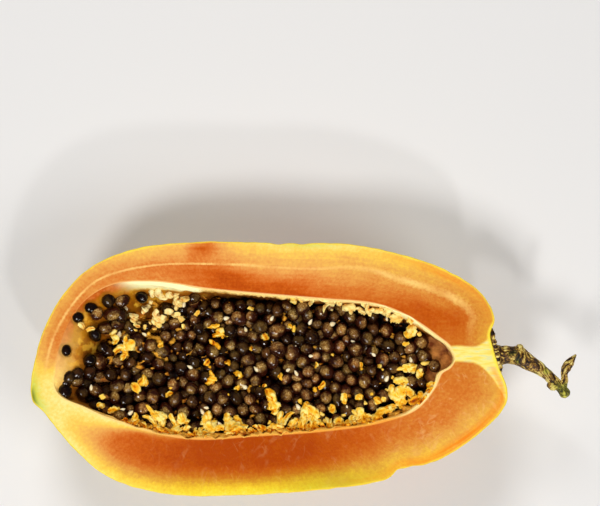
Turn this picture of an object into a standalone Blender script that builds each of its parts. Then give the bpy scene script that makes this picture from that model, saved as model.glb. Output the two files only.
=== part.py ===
"""Half a ripe papaya, cut lengthwise, lying on its rounded back with the cut face up.

Three solids: the flesh with its skin and the open seed hollow, the heap of seeds that fills the hollow, and the
dried stalk whose root and scar sit in the end of the fruit. X runs from the blossom tip to the stalk, Y across the
cut face and Z up. The origin is the middle of the small flat spot that the half rests on.
"""

import math

import bmesh
import bpy
import numpy as np
from mathutils import Vector

MM = 0.001

# Lengths are in millimetres and angles in degrees. Points on the cut face are (x, y).
CUT_HEIGHT = 50.0  # the cut face, above the table
BACK_DEPTH = 51.2  # the full round back, below the cut face; the flat spot takes off the difference
HALF_LENGTH = 96.0  # the plain oval that the fruit has below its rim
HALF_WIDTH = 52.0
END_SQUARENESS = 2.5  # 2 is an ellipse; more is blunter. It is 2 across the fruit
RIM_FADE = 34.0  # how far down the back, as an angle, the bumps of the rim reach
RIDGE = 0.012  # the five soft ridges along the fruit, as a share of its radius
RIDGE_COUNT = 5

# The rim of the cut face, anticlockwise from the stalk.
RIM = [
    (93.5, 7.5), (92.0, 14.0),  # the dimple round the stalk
    (94.0, 20.5), (88.5, 31.0),  # upper shoulder
    (73.5, 40.8), (55.0, 47.2), (34.0, 51.3), (4.0, 51.8), (-30.0, 52.2), (-57.0, 48.8),
    (-75.0, 40.2), (-87.2, 25.8), (-94.4, 8.0),  # round blossom end
    (-96.5, -12.6), (-91.2, -18.4),  # blossom tip
    (-79.0, -32.8), (-64.0, -44.8), (-40.0, -51.4), (-8.0, -51.7), (25.0, -49.3), (48.5, -45.6),
    (54.5, -41.6), (68.0, -38.6),  # a chip in the skin
    (86.0, -27.6), (97.8, -15.5), (98.8, -8.6), (95.3, 1.0),  # lower shoulder
]

# The lip of the seed hollow, anticlockwise from its point at the stalk end.
LIP = [
    (77.6, 5.5), (71.0, 12.2), (57.5, 21.4), (45.0, 26.2), (24.0, 28.2), (0.0, 30.2), (-24.0, 32.4),
    (-46.0, 35.5), (-63.0, 34.5), (-75.0, 27.5), (-83.0, 15.0), (-86.8, -1.0), (-86.5, -9.5),
    (-74.0, -16.5), (-52.0, -24.5), (-30.0, -28.6), (-5.0, -27.4), (25.0, -25.2), (47.0, -21.8),
    (61.0, -16.5), (68.5, -8.0), (73.0, -0.5),
]
HOLLOW_CENTRE = (-5.0, 2.5)
HOLLOW_DEPTH = 28.0
WALL_SQUARENESS = 3.0  # steep walls
SLOPE_SQUARENESS = 1.25  # the wall slopes gently at the blossom end
SLOPE_ANGLE = 158.0  # where it slopes, seen from the middle of the hollow
SLOPE_SPREAD = 27.0

# The heap of seeds. Depths are below the cut face.
GAP = 0.7  # between the heap and the hollow's facets
HEAP_EDGE_DEPTH = 3.0
HEAP_SLOPE_DEPTH = 6.5  # the edge lies deeper where the wall slopes
HEAP_MIDDLE_DEPTH = 11.0
HEAP_DISH = 2.2  # power of the dish between edge and middle
LUMP_HEIGHT = 1.4
LUMP_SPACING = 10.5
LUMP_STRAY = 2.0  # how far the lumps wander from an even pattern
HEAP_GRID = 3.0  # cell of the heap's top
HEAP_BLOCK_BELOW = 35.0  # the block reaches below the hollow's floor

# The stalk, as (x, y, height against the cut face, radius) along each limb.
STALK = [
    (87.0, 5.0, -5.2, 2.8), (94.5, 6.0, -4.6, 3.9), (99.5, 6.2, -4.0, 3.2), (103.4, 5.4, -3.6, 3.2),
    (107.5, 3.2, -3.4, 2.8), (111.6, 1.1, -3.4, 2.1), (115.2, -1.4, -3.6, 1.8), (118.5, -4.6, -3.8, 1.9),
    (121.2, -7.9, -4.0, 1.9), (123.1, -11.2, -4.1, 2.3),
]
BUD_TWIG = [
    (121.2, -8.8, -3.9, 1.2), (122.6, -4.6, -3.2, 1.35), (122.7, -1.8, -2.6, 1.4), (123.5, 0.4, -2.2, 2.1),
    (125.3, 2.8, -1.8, 1.6), (127.0, 5.2, -1.2, 0.4),
]
BROKEN_SHOOT = [(119.6, -5.6, -3.8, 1.3), (118.2, -6.4, -4.0, 1.7), (116.3, -7.6, -4.2, 1.8)]
LEAF_SCAR = [(104.6, 4.8, -3.3, 1.9), (104.4, 7.6, -2.9, 1.9), (104.2, 9.4, -2.7, 1.2)]
SCAR_MIDDLE = (94.1, 7.4, -4.6)  # the dried scar round the stalk
SCAR_RADIUS = 9.6
SCAR_THICKNESS = 1.6
SCAR_TURN = 12.0  # the scar's normal, turned from +X towards +Y
SOCKET_GAP = 0.3  # round the root and the scar
ROOT_POINTS = 2  # of STALK, that lie in the socket

# Facets.
AROUND = 84
SKIN_RINGS = 14
FACE_RINGS = 2
HOLLOW_RINGS = 9
STALK_SIDES = 10
SCAR_SIDES = 20
CURVE_STEPS = 16


def closed_curve(points):
    """A smooth closed curve through the points: a centripetal Catmull-Rom spline, as an array of (x, y)."""
    points = np.array(points, float)
    before, after, beyond = (np.roll(points, shift, axis=0) for shift in (1, -1, -2))
    spans = [np.sqrt(np.linalg.norm(b - a, axis=1)) for a, b in
             ((before, points), (points, after), (after, beyond))]
    knots = np.cumsum([np.zeros(len(points)), *spans], axis=0)[:, :, None]
    curve = []
    for step in np.arange(CURVE_STEPS) / CURVE_STEPS:
        at = knots[1] + (knots[2] - knots[1]) * step

        def between(a, b, low, high):
            return ((knots[high] - at) * a + (at - knots[low]) * b) / (knots[high] - knots[low])

        first = between(before, points, 0, 1)
        second = between(points, after, 1, 2)
        third = between(after, beyond, 2, 3)
        curve.append(between(between(first, second, 0, 2), between(second, third, 1, 3), 1, 2))
    return np.stack(curve, axis=1).reshape(-1, 2)


def polar_radius(points, centre, angles):
    """How far the closed curve through the points lies from the centre, at each angle."""
    offset = closed_curve(points) - centre
    bearing = np.arctan2(offset[:, 1], offset[:, 0])
    order = np.argsort(bearing)
    return np.interp(angles, bearing[order], np.hypot(*offset.T)[order], period=2 * math.pi)


def around_angles():
    """Bearings round the fruit, set so that the points lie about evenly along its long outline."""
    turn = np.linspace(0, 2 * math.pi, AROUND, endpoint=False)
    return np.arctan2(HALF_WIDTH * np.sin(turn), HALF_LENGTH * np.cos(turn))


def skin_ring(angles, drop):
    """One ring of the round back. drop is 0 at the rim and a right angle at the lowest point."""
    across = np.abs(np.sin(angles) / HALF_WIDTH)
    along = np.abs(np.cos(angles) / HALF_LENGTH)
    oval = (across**END_SQUARENESS + along**END_SQUARENESS) ** (-1 / END_SQUARENESS)
    bumps = polar_radius(RIM, (0, 0), angles) - oval
    power = 2 / (2 + (END_SQUARENESS - 2) * np.cos(angles) ** 2)
    reach = (oval + bumps * math.exp(-((math.degrees(drop) / RIM_FADE) ** 2))) * math.cos(drop) ** power
    x, y = reach * np.cos(angles), reach * np.sin(angles)
    depth = BACK_DEPTH * math.sin(drop) ** power
    round_axis = np.arctan2(depth, y)
    swell = 1 + RIDGE * np.sin(RIDGE_COUNT * round_axis) * np.clip(1 - (x / HALF_LENGTH) ** 2, 0, 1)
    height = np.maximum(CUT_HEIGHT - depth * swell, 0)
    return np.stack([x, y * swell, height], axis=1)


def wall_squareness(angles):
    """The shape of the hollow's wall at each angle: steep, but for a gentle slope at the blossom end."""
    away = np.degrees(np.angle(np.exp(1j * (angles - math.radians(SLOPE_ANGLE)))))
    return WALL_SQUARENESS + (SLOPE_SQUARENESS - WALL_SQUARENESS) * np.exp(-((away / SLOPE_SPREAD) ** 2))


def hollow_ring(angles, drop, inset=0.0):
    """One ring of the seed hollow's wall, or of a surface that lies inset from it."""
    squareness = wall_squareness(angles)
    reach = polar_radius(LIP, HOLLOW_CENTRE, angles) - inset
    reach = reach * math.cos(drop) ** (2 / squareness)
    x = HOLLOW_CENTRE[0] + reach * np.cos(angles)
    y = HOLLOW_CENTRE[1] + reach * np.sin(angles)
    return np.stack([x, y, CUT_HEIGHT - (HOLLOW_DEPTH - inset) * math.sin(drop) ** (2 / squareness)], axis=1)


def heap_height(x, y):
    """The dished, lumpy top of the seed heap at each (x, y)."""
    dx, dy = x - HOLLOW_CENTRE[0], y - HOLLOW_CENTRE[1]
    angles = np.arctan2(dy, dx)
    share = np.minimum(np.hypot(dx, dy) / polar_radius(LIP, HOLLOW_CENTRE, angles), 1)
    sloping = (WALL_SQUARENESS - wall_squareness(angles)) / (WALL_SQUARENESS - SLOPE_SQUARENESS)
    edge = HEAP_EDGE_DEPTH + (HEAP_SLOPE_DEPTH - HEAP_EDGE_DEPTH) * sloping
    depth = HEAP_MIDDLE_DEPTH - (HEAP_MIDDLE_DEPTH - edge) * share**HEAP_DISH
    stray_x = x + LUMP_STRAY * np.sin(2 * y / LUMP_SPACING)
    stray_y = y + LUMP_STRAY * np.sin(1.3 * x / LUMP_SPACING)
    bearings = np.radians((0, 60, 120))
    waves = [np.cos(2 * math.pi / LUMP_SPACING * (stray_x * math.cos(b) + stray_y * math.sin(b))) for b in bearings]
    return CUT_HEIGHT - depth + LUMP_HEIGHT * sum(waves) / len(waves)


def material(name, colour, roughness):
    made = bpy.data.materials.new(name)
    made.use_nodes = True
    shader = made.node_tree.nodes["Principled BSDF"]
    shader.inputs["Base Color"].default_value = (*colour, 1)
    shader.inputs["Roughness"].default_value = roughness
    made.diffuse_color = (*colour, 1)
    return made


def make_object(name, bm, finish=None):
    """The bmesh, in millimetres, as an object in metres with its faces pointing out."""
    bmesh.ops.remove_doubles(bm, verts=bm.verts, dist=1e-5)
    bmesh.ops.recalc_face_normals(bm, faces=bm.faces)
    bmesh.ops.scale(bm, vec=(MM, MM, MM), verts=bm.verts)
    mesh = bpy.data.meshes.new(name)
    bm.to_mesh(mesh)
    bm.free()
    made = bpy.data.objects.new(name, mesh)
    bpy.context.collection.objects.link(made)
    if finish:
        mesh.materials.append(finish)
        mesh.shade_smooth()
        mesh.set_sharp_from_angle(angle=math.radians(40))
    return made


def as_helper(made):
    """Marks an object that only cuts or joins another."""
    made.hide_render = True
    made.display_type = "WIRE"
    return made


def boolean(target, helper, operation):
    modifier = target.modifiers.new(helper.name, "BOOLEAN")
    modifier.operation = operation
    modifier.object = as_helper(helper)


def skin_over(bm, rings, first_cap, last_cap):
    """Faces between successive closed rings. A cap is a middle point for a fan, or None for one flat face."""
    loops = [[bm.verts.new(point) for point in ring] for ring in rings]
    for lower, upper in zip(loops, loops[1:]):
        for i in range(len(lower)):
            j = (i + 1) % len(lower)
            bm.faces.new((lower[i], lower[j], upper[j], upper[i]))
    for loop, cap in ((loops[0], first_cap), (loops[-1], last_cap)):
        if cap is None:
            bm.faces.new(loop)
            continue
        middle = bm.verts.new(cap)
        for i in range(len(loop)):
            bm.faces.new((loop[i], loop[(i + 1) % len(loop)], middle))


def quarter_turn(rings):
    """Angles from just above the lowest point of a bowl up to its edge."""
    return [math.pi / 2 * (1 - step / rings) for step in range(1, rings + 1)]


def make_flesh():
    angles = around_angles()
    back = [skin_ring(angles, drop) for drop in quarter_turn(SKIN_RINGS)]
    hollow = [hollow_ring(angles, drop) for drop in reversed(quarter_turn(HOLLOW_RINGS))]
    shares = np.arange(1, FACE_RINGS) / FACE_RINGS
    face = [back[-1] + (hollow[0] - back[-1]) * share for share in shares]
    bm = bmesh.new()
    floor = (*HOLLOW_CENTRE, CUT_HEIGHT - HOLLOW_DEPTH)
    skin_over(bm, back + face + hollow, (0, 0, 0), floor)
    return make_object("papaya_flesh", bm, material("flesh", (0.75, 0.26, 0.05), 0.35))


def make_seed_heap():
    """The hollow's own shape, set in by the gap, and cut to the heap's uneven top."""
    angles = around_angles()
    bm = bmesh.new()
    rings = [hollow_ring(angles, drop, GAP) for drop in quarter_turn(HOLLOW_RINGS)]
    floor = (*HOLLOW_CENTRE, CUT_HEIGHT - HOLLOW_DEPTH + GAP)
    skin_over(bm, rings, floor, (*HOLLOW_CENTRE, CUT_HEIGHT))
    heap = make_object("seed_heap", bm, material("seeds", (0.07, 0.045, 0.025), 0.3))
    boolean(heap, make_heap_block(), "INTERSECT")
    return heap


def make_heap_block():
    """A block wider than the hollow, whose top is the heap's uneven surface."""
    lip = closed_curve(LIP)
    low, high = lip.min(axis=0) - HEAP_GRID, lip.max(axis=0) + HEAP_GRID
    columns, rows = np.ceil((high - low) / HEAP_GRID).astype(int)
    bm = bmesh.new()
    bmesh.ops.create_grid(bm, x_segments=columns, y_segments=rows, size=0.5)
    for vertex in bm.verts:
        x, y = low + (high - low) * (0.5 + np.array(vertex.co.xy))
        vertex.co = (x, y, heap_height(x, y))
    made = bmesh.ops.extrude_face_region(bm, geom=bm.faces[:])
    for vertex in made["geom"]:
        if isinstance(vertex, bmesh.types.BMVert):
            vertex.co.z = CUT_HEIGHT - HEAP_BLOCK_BELOW
    return make_object("heap_block", bm)


def add_limb(bm, path, grow=0.0):
    """A round limb of changing radius along a path of (x, y, height against the cut face, radius)."""
    centres = [Vector((x, y, CUT_HEIGHT + height)) for x, y, height, _ in path]
    rings = []
    for i, centre in enumerate(centres):
        along = centres[min(i + 1, len(path) - 1)] - centres[max(i - 1, 0)]
        turn = along.to_track_quat("Z", "Y")
        radius = path[i][3] + grow
        sides = [2 * math.pi * k / STALK_SIDES for k in range(STALK_SIDES)]
        rings.append([centre + turn @ Vector((radius * math.cos(a), radius * math.sin(a), 0)) for a in sides])
    skin_over(bm, rings, None, None)


def make_limb(name, path, grow=0.0):
    bm = bmesh.new()
    add_limb(bm, path, grow)
    return make_object(name, bm)


def make_scar(name, grow=0.0):
    """The dried scar round the stalk: a thick disc, cut level with the cut face."""
    bm = bmesh.new()
    bmesh.ops.create_cone(
        bm, cap_ends=True, segments=SCAR_SIDES, radius1=SCAR_RADIUS + grow, radius2=SCAR_RADIUS + grow,
        depth=SCAR_THICKNESS + 2 * grow,
    )
    normal = Vector((math.cos(math.radians(SCAR_TURN)), math.sin(math.radians(SCAR_TURN)), 0))
    turn = normal.to_track_quat("Z", "Y").to_matrix()
    x, y, height = SCAR_MIDDLE
    bmesh.ops.rotate(bm, matrix=turn, verts=bm.verts)
    bmesh.ops.translate(bm, vec=(x, y, CUT_HEIGHT + height), verts=bm.verts)
    if not grow:
        everything = bm.verts[:] + bm.edges[:] + bm.faces[:]
        level = (0, 0, CUT_HEIGHT)
        bmesh.ops.bisect_plane(bm, geom=everything, plane_co=level, plane_no=(0, 0, 1), clear_outer=True)
        bmesh.ops.holes_fill(bm, edges=bm.edges)
    return make_object(name, bm)


def make_stalk():
    bm = bmesh.new()
    add_limb(bm, STALK)
    stalk = make_object("stalk", bm, material("bark", (0.16, 0.12, 0.04), 0.8))
    for name, path in (("bud_twig", BUD_TWIG), ("broken_shoot", BROKEN_SHOOT), ("leaf_scar", LEAF_SCAR)):
        boolean(stalk, make_limb(name, path), "UNION")
    boolean(stalk, make_scar("stalk_scar"), "UNION")
    return stalk


def cut_stalk_socket(flesh):
    """Room in the end of the fruit for the root and the scar, with a gap all round."""
    (x, y, height, radius), *rest = STALK[:ROOT_POINTS]
    root = [(x - SOCKET_GAP, y, height, radius), *rest]
    boolean(flesh, make_limb("root_socket", root, SOCKET_GAP), "DIFFERENCE")
    boolean(flesh, make_scar("scar_socket", SOCKET_GAP), "DIFFERENCE")


def main():
    for leftover in list(bpy.data.objects):
        bpy.data.objects.remove(leftover)
    flesh = make_flesh()
    make_seed_heap()
    make_stalk()
    cut_stalk_socket(flesh)


main()
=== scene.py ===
"""Half a ripe papaya on its back: the looks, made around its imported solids.

Lengths are in millimetres until a mesh is made. X runs from the blossom tip to the stalk, Y across the cut
face and Z up. The outlines and the hollow's shape repeat those of the solids. A shape is a function of two
parameters, worked out as whole arrays: the bearing round the fruit, and how far along a line from the
resting spot, up the skin, over the rim, across the cut face, over the lip and down to the floor of the
seed hollow.
"""

import math

import bpy
import numpy as np
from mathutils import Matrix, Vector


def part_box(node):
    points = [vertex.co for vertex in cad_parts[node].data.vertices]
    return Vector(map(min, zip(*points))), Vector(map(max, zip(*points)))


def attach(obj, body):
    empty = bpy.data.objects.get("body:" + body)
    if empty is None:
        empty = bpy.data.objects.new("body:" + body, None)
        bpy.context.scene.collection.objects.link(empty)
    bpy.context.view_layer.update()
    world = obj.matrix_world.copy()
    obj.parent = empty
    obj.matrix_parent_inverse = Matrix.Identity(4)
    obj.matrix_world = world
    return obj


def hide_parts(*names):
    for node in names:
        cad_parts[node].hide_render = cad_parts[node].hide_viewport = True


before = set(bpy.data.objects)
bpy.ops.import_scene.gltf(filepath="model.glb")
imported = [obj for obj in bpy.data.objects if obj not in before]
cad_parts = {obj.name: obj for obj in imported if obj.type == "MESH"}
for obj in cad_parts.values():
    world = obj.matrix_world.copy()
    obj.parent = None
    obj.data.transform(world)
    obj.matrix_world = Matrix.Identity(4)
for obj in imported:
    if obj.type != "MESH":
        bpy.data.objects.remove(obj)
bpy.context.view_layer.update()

MM = 0.001
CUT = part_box("papaya_flesh")[1].z / MM  # height of the cut face

# ---------------------------------------------------------------- the fruit's form, as in its solids
BACK_DEPTH = 51.2
HALF_LENGTH = 96.0
HALF_WIDTH = 52.0
END_SQUARENESS = 2.5
RIM_FADE = 34.0
RIDGE = 0.012
RIDGE_COUNT = 5
RIM = [
    (93.5, 7.5), (92.0, 14.0), (94.0, 20.5), (88.5, 31.0), (73.5, 40.8), (55.0, 47.2), (34.0, 51.3),
    (4.0, 51.8), (-30.0, 52.2), (-57.0, 48.8), (-75.0, 40.2), (-87.2, 25.8), (-94.4, 8.0), (-96.5, -12.6),
    (-91.2, -18.4), (-79.0, -32.8), (-64.0, -44.8), (-40.0, -51.4), (-8.0, -51.7), (25.0, -49.3),
    (48.5, -45.6), (54.5, -41.6), (68.0, -38.6), (86.0, -27.6), (97.8, -15.5), (98.8, -8.6), (95.3, 1.0),
]
LIP = [
    (76.6, 3.2), (75.4, 8.3), (70.2, 12.8), (57.5, 21.4), (45.0, 26.2), (24.0, 28.2), (0.0, 30.2),
    (-24.0, 32.4), (-46.0, 35.5), (-63.0, 34.5), (-75.0, 27.5), (-83.0, 15.0), (-86.8, -1.0), (-86.5, -9.5),
    (-74.0, -16.5), (-52.0, -24.5), (-30.0, -28.6), (-5.0, -27.4), (25.0, -25.2), (47.0, -21.8),
    (61.0, -16.5), (68.5, -8.0), (71.6, -1.8), (75.0, 0.4),
]
HOLLOW_CENTRE = (-5.0, 2.5)
HOLLOW_DEPTH = 28.0
WALL_SQUARENESS = 3.0
SLOPE_SQUARENESS = 1.25
SLOPE_ANGLE = 158.0
SLOPE_SPREAD = 27.0
HEAP_EDGE_DEPTH = 3.0
HEAP_SLOPE_DEPTH = 6.5
HEAP_MIDDLE_DEPTH = 11.0
HEAP_DISH = 2.2
ROLL_DEPTH = 1.6  # of the lip's rolled edge
CREAM_DEPTH = 3.2  # how far down the lip may be cream
# Where the lip's rolled edge is wider or thinner: bearing, half width in degrees, and millimetres added.
ROLL_BELLS = [
    (137, 9, 2.9), (149, 6, 0.4), (16, 16, 0.9), (346, 13, 0.7), (176, 17, -0.7), (45, 18, 0.5),
    (275, 50, 0.1),
]
SNUG = 0.9968  # keeps the smooth outline inside the box of the faceted one

# ---------------------------------------------------------------- the skin of detail over that form
COLUMNS = 600
SKIN_ROWS = 54
BEVEL_ROWS = 4
FACE_ROWS = 54
HOLLOW_ROWS = 44
RIM_ROUNDING = 0.35
CURVE_STEPS = 24
EASING_WIDTH = 7.0  # degrees over which a table by bearing is eased
EASING_REACH = 20
CHUNK = 4000  # points measured at a time
# Small scallops that the knife left in the rim: bearing in degrees, width and depth.
NICKS = [
    (84.5, 2.2, 0.55), (74.5, 3.0, 0.6), (-37.5, 1.6, 0.5), (-33.5, 2.0, 0.6), (-30.0, 1.5, 0.45),
    (-47.5, 2.0, 0.25),
]

# How ripe the flesh looks: bearing in degrees from the middle of the fruit, how ripe it is just inside the
# skin, the distance over which it ripens, and how ripe it is by the seed hollow (0 is pale yellow, 1 deep
# red-orange).
RIPENING = [
    (0, 0.32, 10.0, 0.60), (12, 0.46, 15.0, 0.84), (27, 0.33, 30.0, 0.90), (42, 0.18, 29.0, 0.92),
    (60, 0.07, 20.0, 0.92), (90, 0.08, 20.0, 0.92), (110, 0.16, 15.0, 0.90), (122, 0.22, 12.0, 0.84),
    (135, 0.28, 10.0, 0.66), (150, 0.36, 6.0, 0.58), (174, 0.44, 6.0, 0.67), (187, 0.08, 9.0, 0.36),
    (198, 0.04, 10.0, 0.32), (206, 0.08, 13.0, 0.80), (222, 0.10, 13.0, 0.92), (238, 0.06, 14.0, 0.98),
    (255, 0.05, 13.0, 1.0), (280, 0.05, 13.0, 1.0), (300, 0.08, 15.0, 0.98), (325, 0.20, 18.0, 0.81),
    (345, 0.30, 18.0, 0.66),
]
# Bearing, how golden rather than peach the half ripe flesh is there, and how much pale fibre it has.
GOLDEN = [
    (0, 0.6, 0.7), (12, 0.7, 0.6), (22, 0.4, 0.3), (60, 0.0, 0.0), (130, 0.0, 0.0), (150, 0.15, 0.0),
    (172, 0.35, 0.0), (184, 0.0, 0.1), (200, 0.0, 0.2), (216, 0.5, 0.6), (235, 0.9, 0.9), (300, 1.0, 1.0),
    (325, 0.6, 1.0), (345, 0.3, 1.0),
]
# Along the top side it ripens unevenly: share of that distance, share of the ripening.
SLOW_RIPENING = [
    (0.0, 0.0), (0.08, 0.03), (0.15, 0.10), (0.22, 0.24), (0.36, 0.34), (0.55, 0.46), (0.68, 0.64),
    (0.85, 0.88), (1.0, 1.0), (1.5, 1.03),
]
# The pale line of vessels: bearing, distance in from the skin, strength, breadth.
VESSELS = [
    (8, 8.0, 0.0, 2.6), (14, 8.2, 0.45, 3.2), (25, 9.6, 0.85, 3.2), (45, 10.0, 0.55, 1.8),
    (65, 9.8, 0.5, 1.0), (85, 10.8, 0.6, 1.0), (110, 9.2, 0.9, 0.9), (130, 8.6, 0.8, 0.8),
    (150, 6.8, 0.8, 0.9), (168, 5.6, 0.9, 1.1), (180, 5.2, 0.5, 1.2), (188, 5.0, 0.0, 1.0),
    (250, 9.0, 0.0, 1.0),
]

# The dried stalk: points of its middle (x, y, height over the cut face) and its radius there.
STALK = [
    (90.0, 5.6, -5.6, 4.4), (94.0, 5.6, -5.2, 4.5), (97.0, 5.6, -4.9, 3.9), (100.5, 5.6, -4.6, 3.6),
    (104.0, 5.0, -4.4, 3.9), (107.6, 2.6, -4.2, 3.3), (111.4, 0.4, -4.0, 2.7), (115.0, -2.2, -3.9, 2.3),
    (118.0, -5.0, -3.9, 2.2), (120.8, -8.0, -4.0, 2.0), (122.6, -10.2, -4.1, 2.3),
    (123.6, -11.6, -4.2, 1.9),
]
BUD_TWIG = [
    (121.4, -9.0, -4.0, 1.3), (122.4, -5.6, -3.4, 1.5), (122.3, -2.6, -2.8, 1.4), (122.9, 0.0, -2.4, 2.0),
    (124.4, 2.2, -2.1, 1.9), (125.8, 4.2, -1.6, 1.1), (127.0, 5.6, -1.2, 0.35),
]
BROKEN_SHOOT = [
    (119.8, -5.2, -4.0, 1.4), (118.4, -6.2, -4.1, 2.0), (116.8, -7.4, -4.3, 2.2), (116.0, -8.2, -4.4, 1.9),
]
LEAF_SCAR = [
    (103.4, 4.6, -4.2, 2.2), (103.8, 7.2, -3.6, 2.2), (103.9, 8.8, -3.3, 1.9), (103.6, 9.9, -3.2, 1.0),
]
SCAR_MIDDLE = (94.1, 7.4, -4.6)
SCAR_RADIUS = 9.6
SCAR_THICKNESS = 1.6
SCAR_TURN = 12.0
SCAR_SIDES = 96
UNDER_CUT = 0.02  # keeps the stalk inside its solid's box

# ---------------------------------------------------------------- what fills the hollow
SEED_COUNT = 510
SEED_RADIUS = 3.02
SEED_CRAMMING = 0.95  # how close two seeds may come, as a share of their radii added
SETTLING_STEPS = 160
SETTLING_PULL = 0.12  # share of the way to its own layer that a seed is drawn in a step
SETTLING_PUSH = 0.7  # share of an overlap that is undone in a step
# How far the seeds keep off the wall: bearing, half width in degrees, and millimetres added.
CLEAR_BELLS = [(90, 45, 0.7), (285, 65, 1.8), (195, 15, -0.4)]
SEED_SHAPES = 6
BALL_CELLS = 3  # of each of the six grids of a small ball
POCKET_EDGE = 65.0  # how far along the settled seeds may lie
CRUMB_COUNT = 90
FRINGE_COUNT = 95
BED_ROWS = 60
BED_GAP = 0.35  # between the core and the hollow's wall
TINY = 1e-6
NO_FACES = np.zeros((0, 3), int)
HEAP_CORE = 7.0  # the dark core lies this far under the heap's top
FLATTENED = 0.6  # height of a seed that lies where the hollow is too shallow for it
# Places that the seeds keep clear of: x, y, radius.
CLEARINGS = [
    (-47.0, 29.0, 3.6), (-38.5, 29.0, 3.2), (-35.0, 28.0, 2.6), (-54.0, 24.0, 3.0), (-47.5, 22.5, 2.4),
    (-34.5, 20.5, 2.2), (-41.0, 9.5, 2.2), (-61.0, 12.0, 2.5),
]
# Seeds with a place of their own, on the bare slope, by the upper lip and at both ends: x, y, radius, and
# how pale.
LONE_SEEDS = [
    (-82.5, 7.4, 2.3, 0), (-78.0, 21.0, 2.5, 0), (-72.6, 25.0, 2.5, 0), (-71.2, 13.7, 2.6, 0),
    (-65.4, 28.0, 3.0, 0.1), (-59.8, 28.0, 3.0, 0.5), (-52.0, 29.7, 2.7, 0), (-42.0, 26.0, 3.0, 0.1),
    (-82.9, -9.5, 3.0, 0), (-76.3, -9.9, 2.9, 0.1), (-81.3, -3.7, 2.9, 0.1), (-78.0, -2.1, 2.6, 0.1),
    (-70.2, 22.4, 3.1, 0.8), (-64.2, 22.6, 3.2, 0.9), (-60.6, 22.0, 3.0, 0.1), (-62.0, 18.6, 2.9, 0.6),
    (-67.2, 16.8, 2.9, 0.8), (-73.4, 3.4, 3.0, 0), (-68.0, 9.0, 2.9, 0.1), (-66.3, 7.4, 2.7, 0.1),
    (-50.7, 17.7, 2.7, 0.1), (-54.5, 12.4, 3.2, 0.5), (-48.9, 9.9, 2.8, 0.9), (-43.1, 17.9, 2.4, 0.2),
    (-39.0, 19.2, 2.9, 0.9), (-42.5, 13.8, 2.9, 0.6), (-36.1, 14.0, 2.7, 0.6), (-31.6, 14.4, 2.3, 0.9),
    (-33.2, 9.5, 2.5, 0.4), (-30.5, 29.4, 2.7, 0.3), (-31.8, 24.6, 2.4, 0.2), (-26.8, 26.2, 2.6, 0.2),
    (-21.6, 27.2, 2.3, 0.5), (-16.1, 25.4, 3.0, 0.8), (-10.7, 26.2, 2.6, 0.3), (-3.1, 24.8, 3.0, 0.2),
    (-21.0, 21.6, 3.2, 0.9), (-24.8, 19.2, 2.4, 0.6), (-15.3, 20.4, 2.4, 1.0), (-7.6, 19.8, 2.6, 1.0),
    (-26.8, 13.6, 3.4, 0.2), (-15.3, 10.7, 3.0, 0.8), (-5.8, 13.6, 3.0, 0.6), (4.3, 24.6, 3.0, 0.2),
    (10.6, 23.2, 2.9, 0.7), (16.6, 22.2, 2.8, 0.5), (22.4, 23.4, 3.0, 0.6), (27.6, 21.6, 3.0, 0.3),
    (34.6, 21.4, 2.8, 0.5), (39.0, 19.4, 3.0, 0.9), (44.0, 21.6, 2.7, 0.2), (49.6, 16.0, 3.1, 0.9),
    (30.9, 16.5, 3.1, 1.0), (55.6, 12.6, 3.3, 0.4), (64.0, 11.2, 3.2, 0.8), (65.2, 5.0, 3.0, 0.6),
    (69.2, 1.2, 3.0, 0.5), (59.4, -5.6, 3.2, 0.5), (63.9, -5.6, 2.8, 0.3),
]
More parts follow.
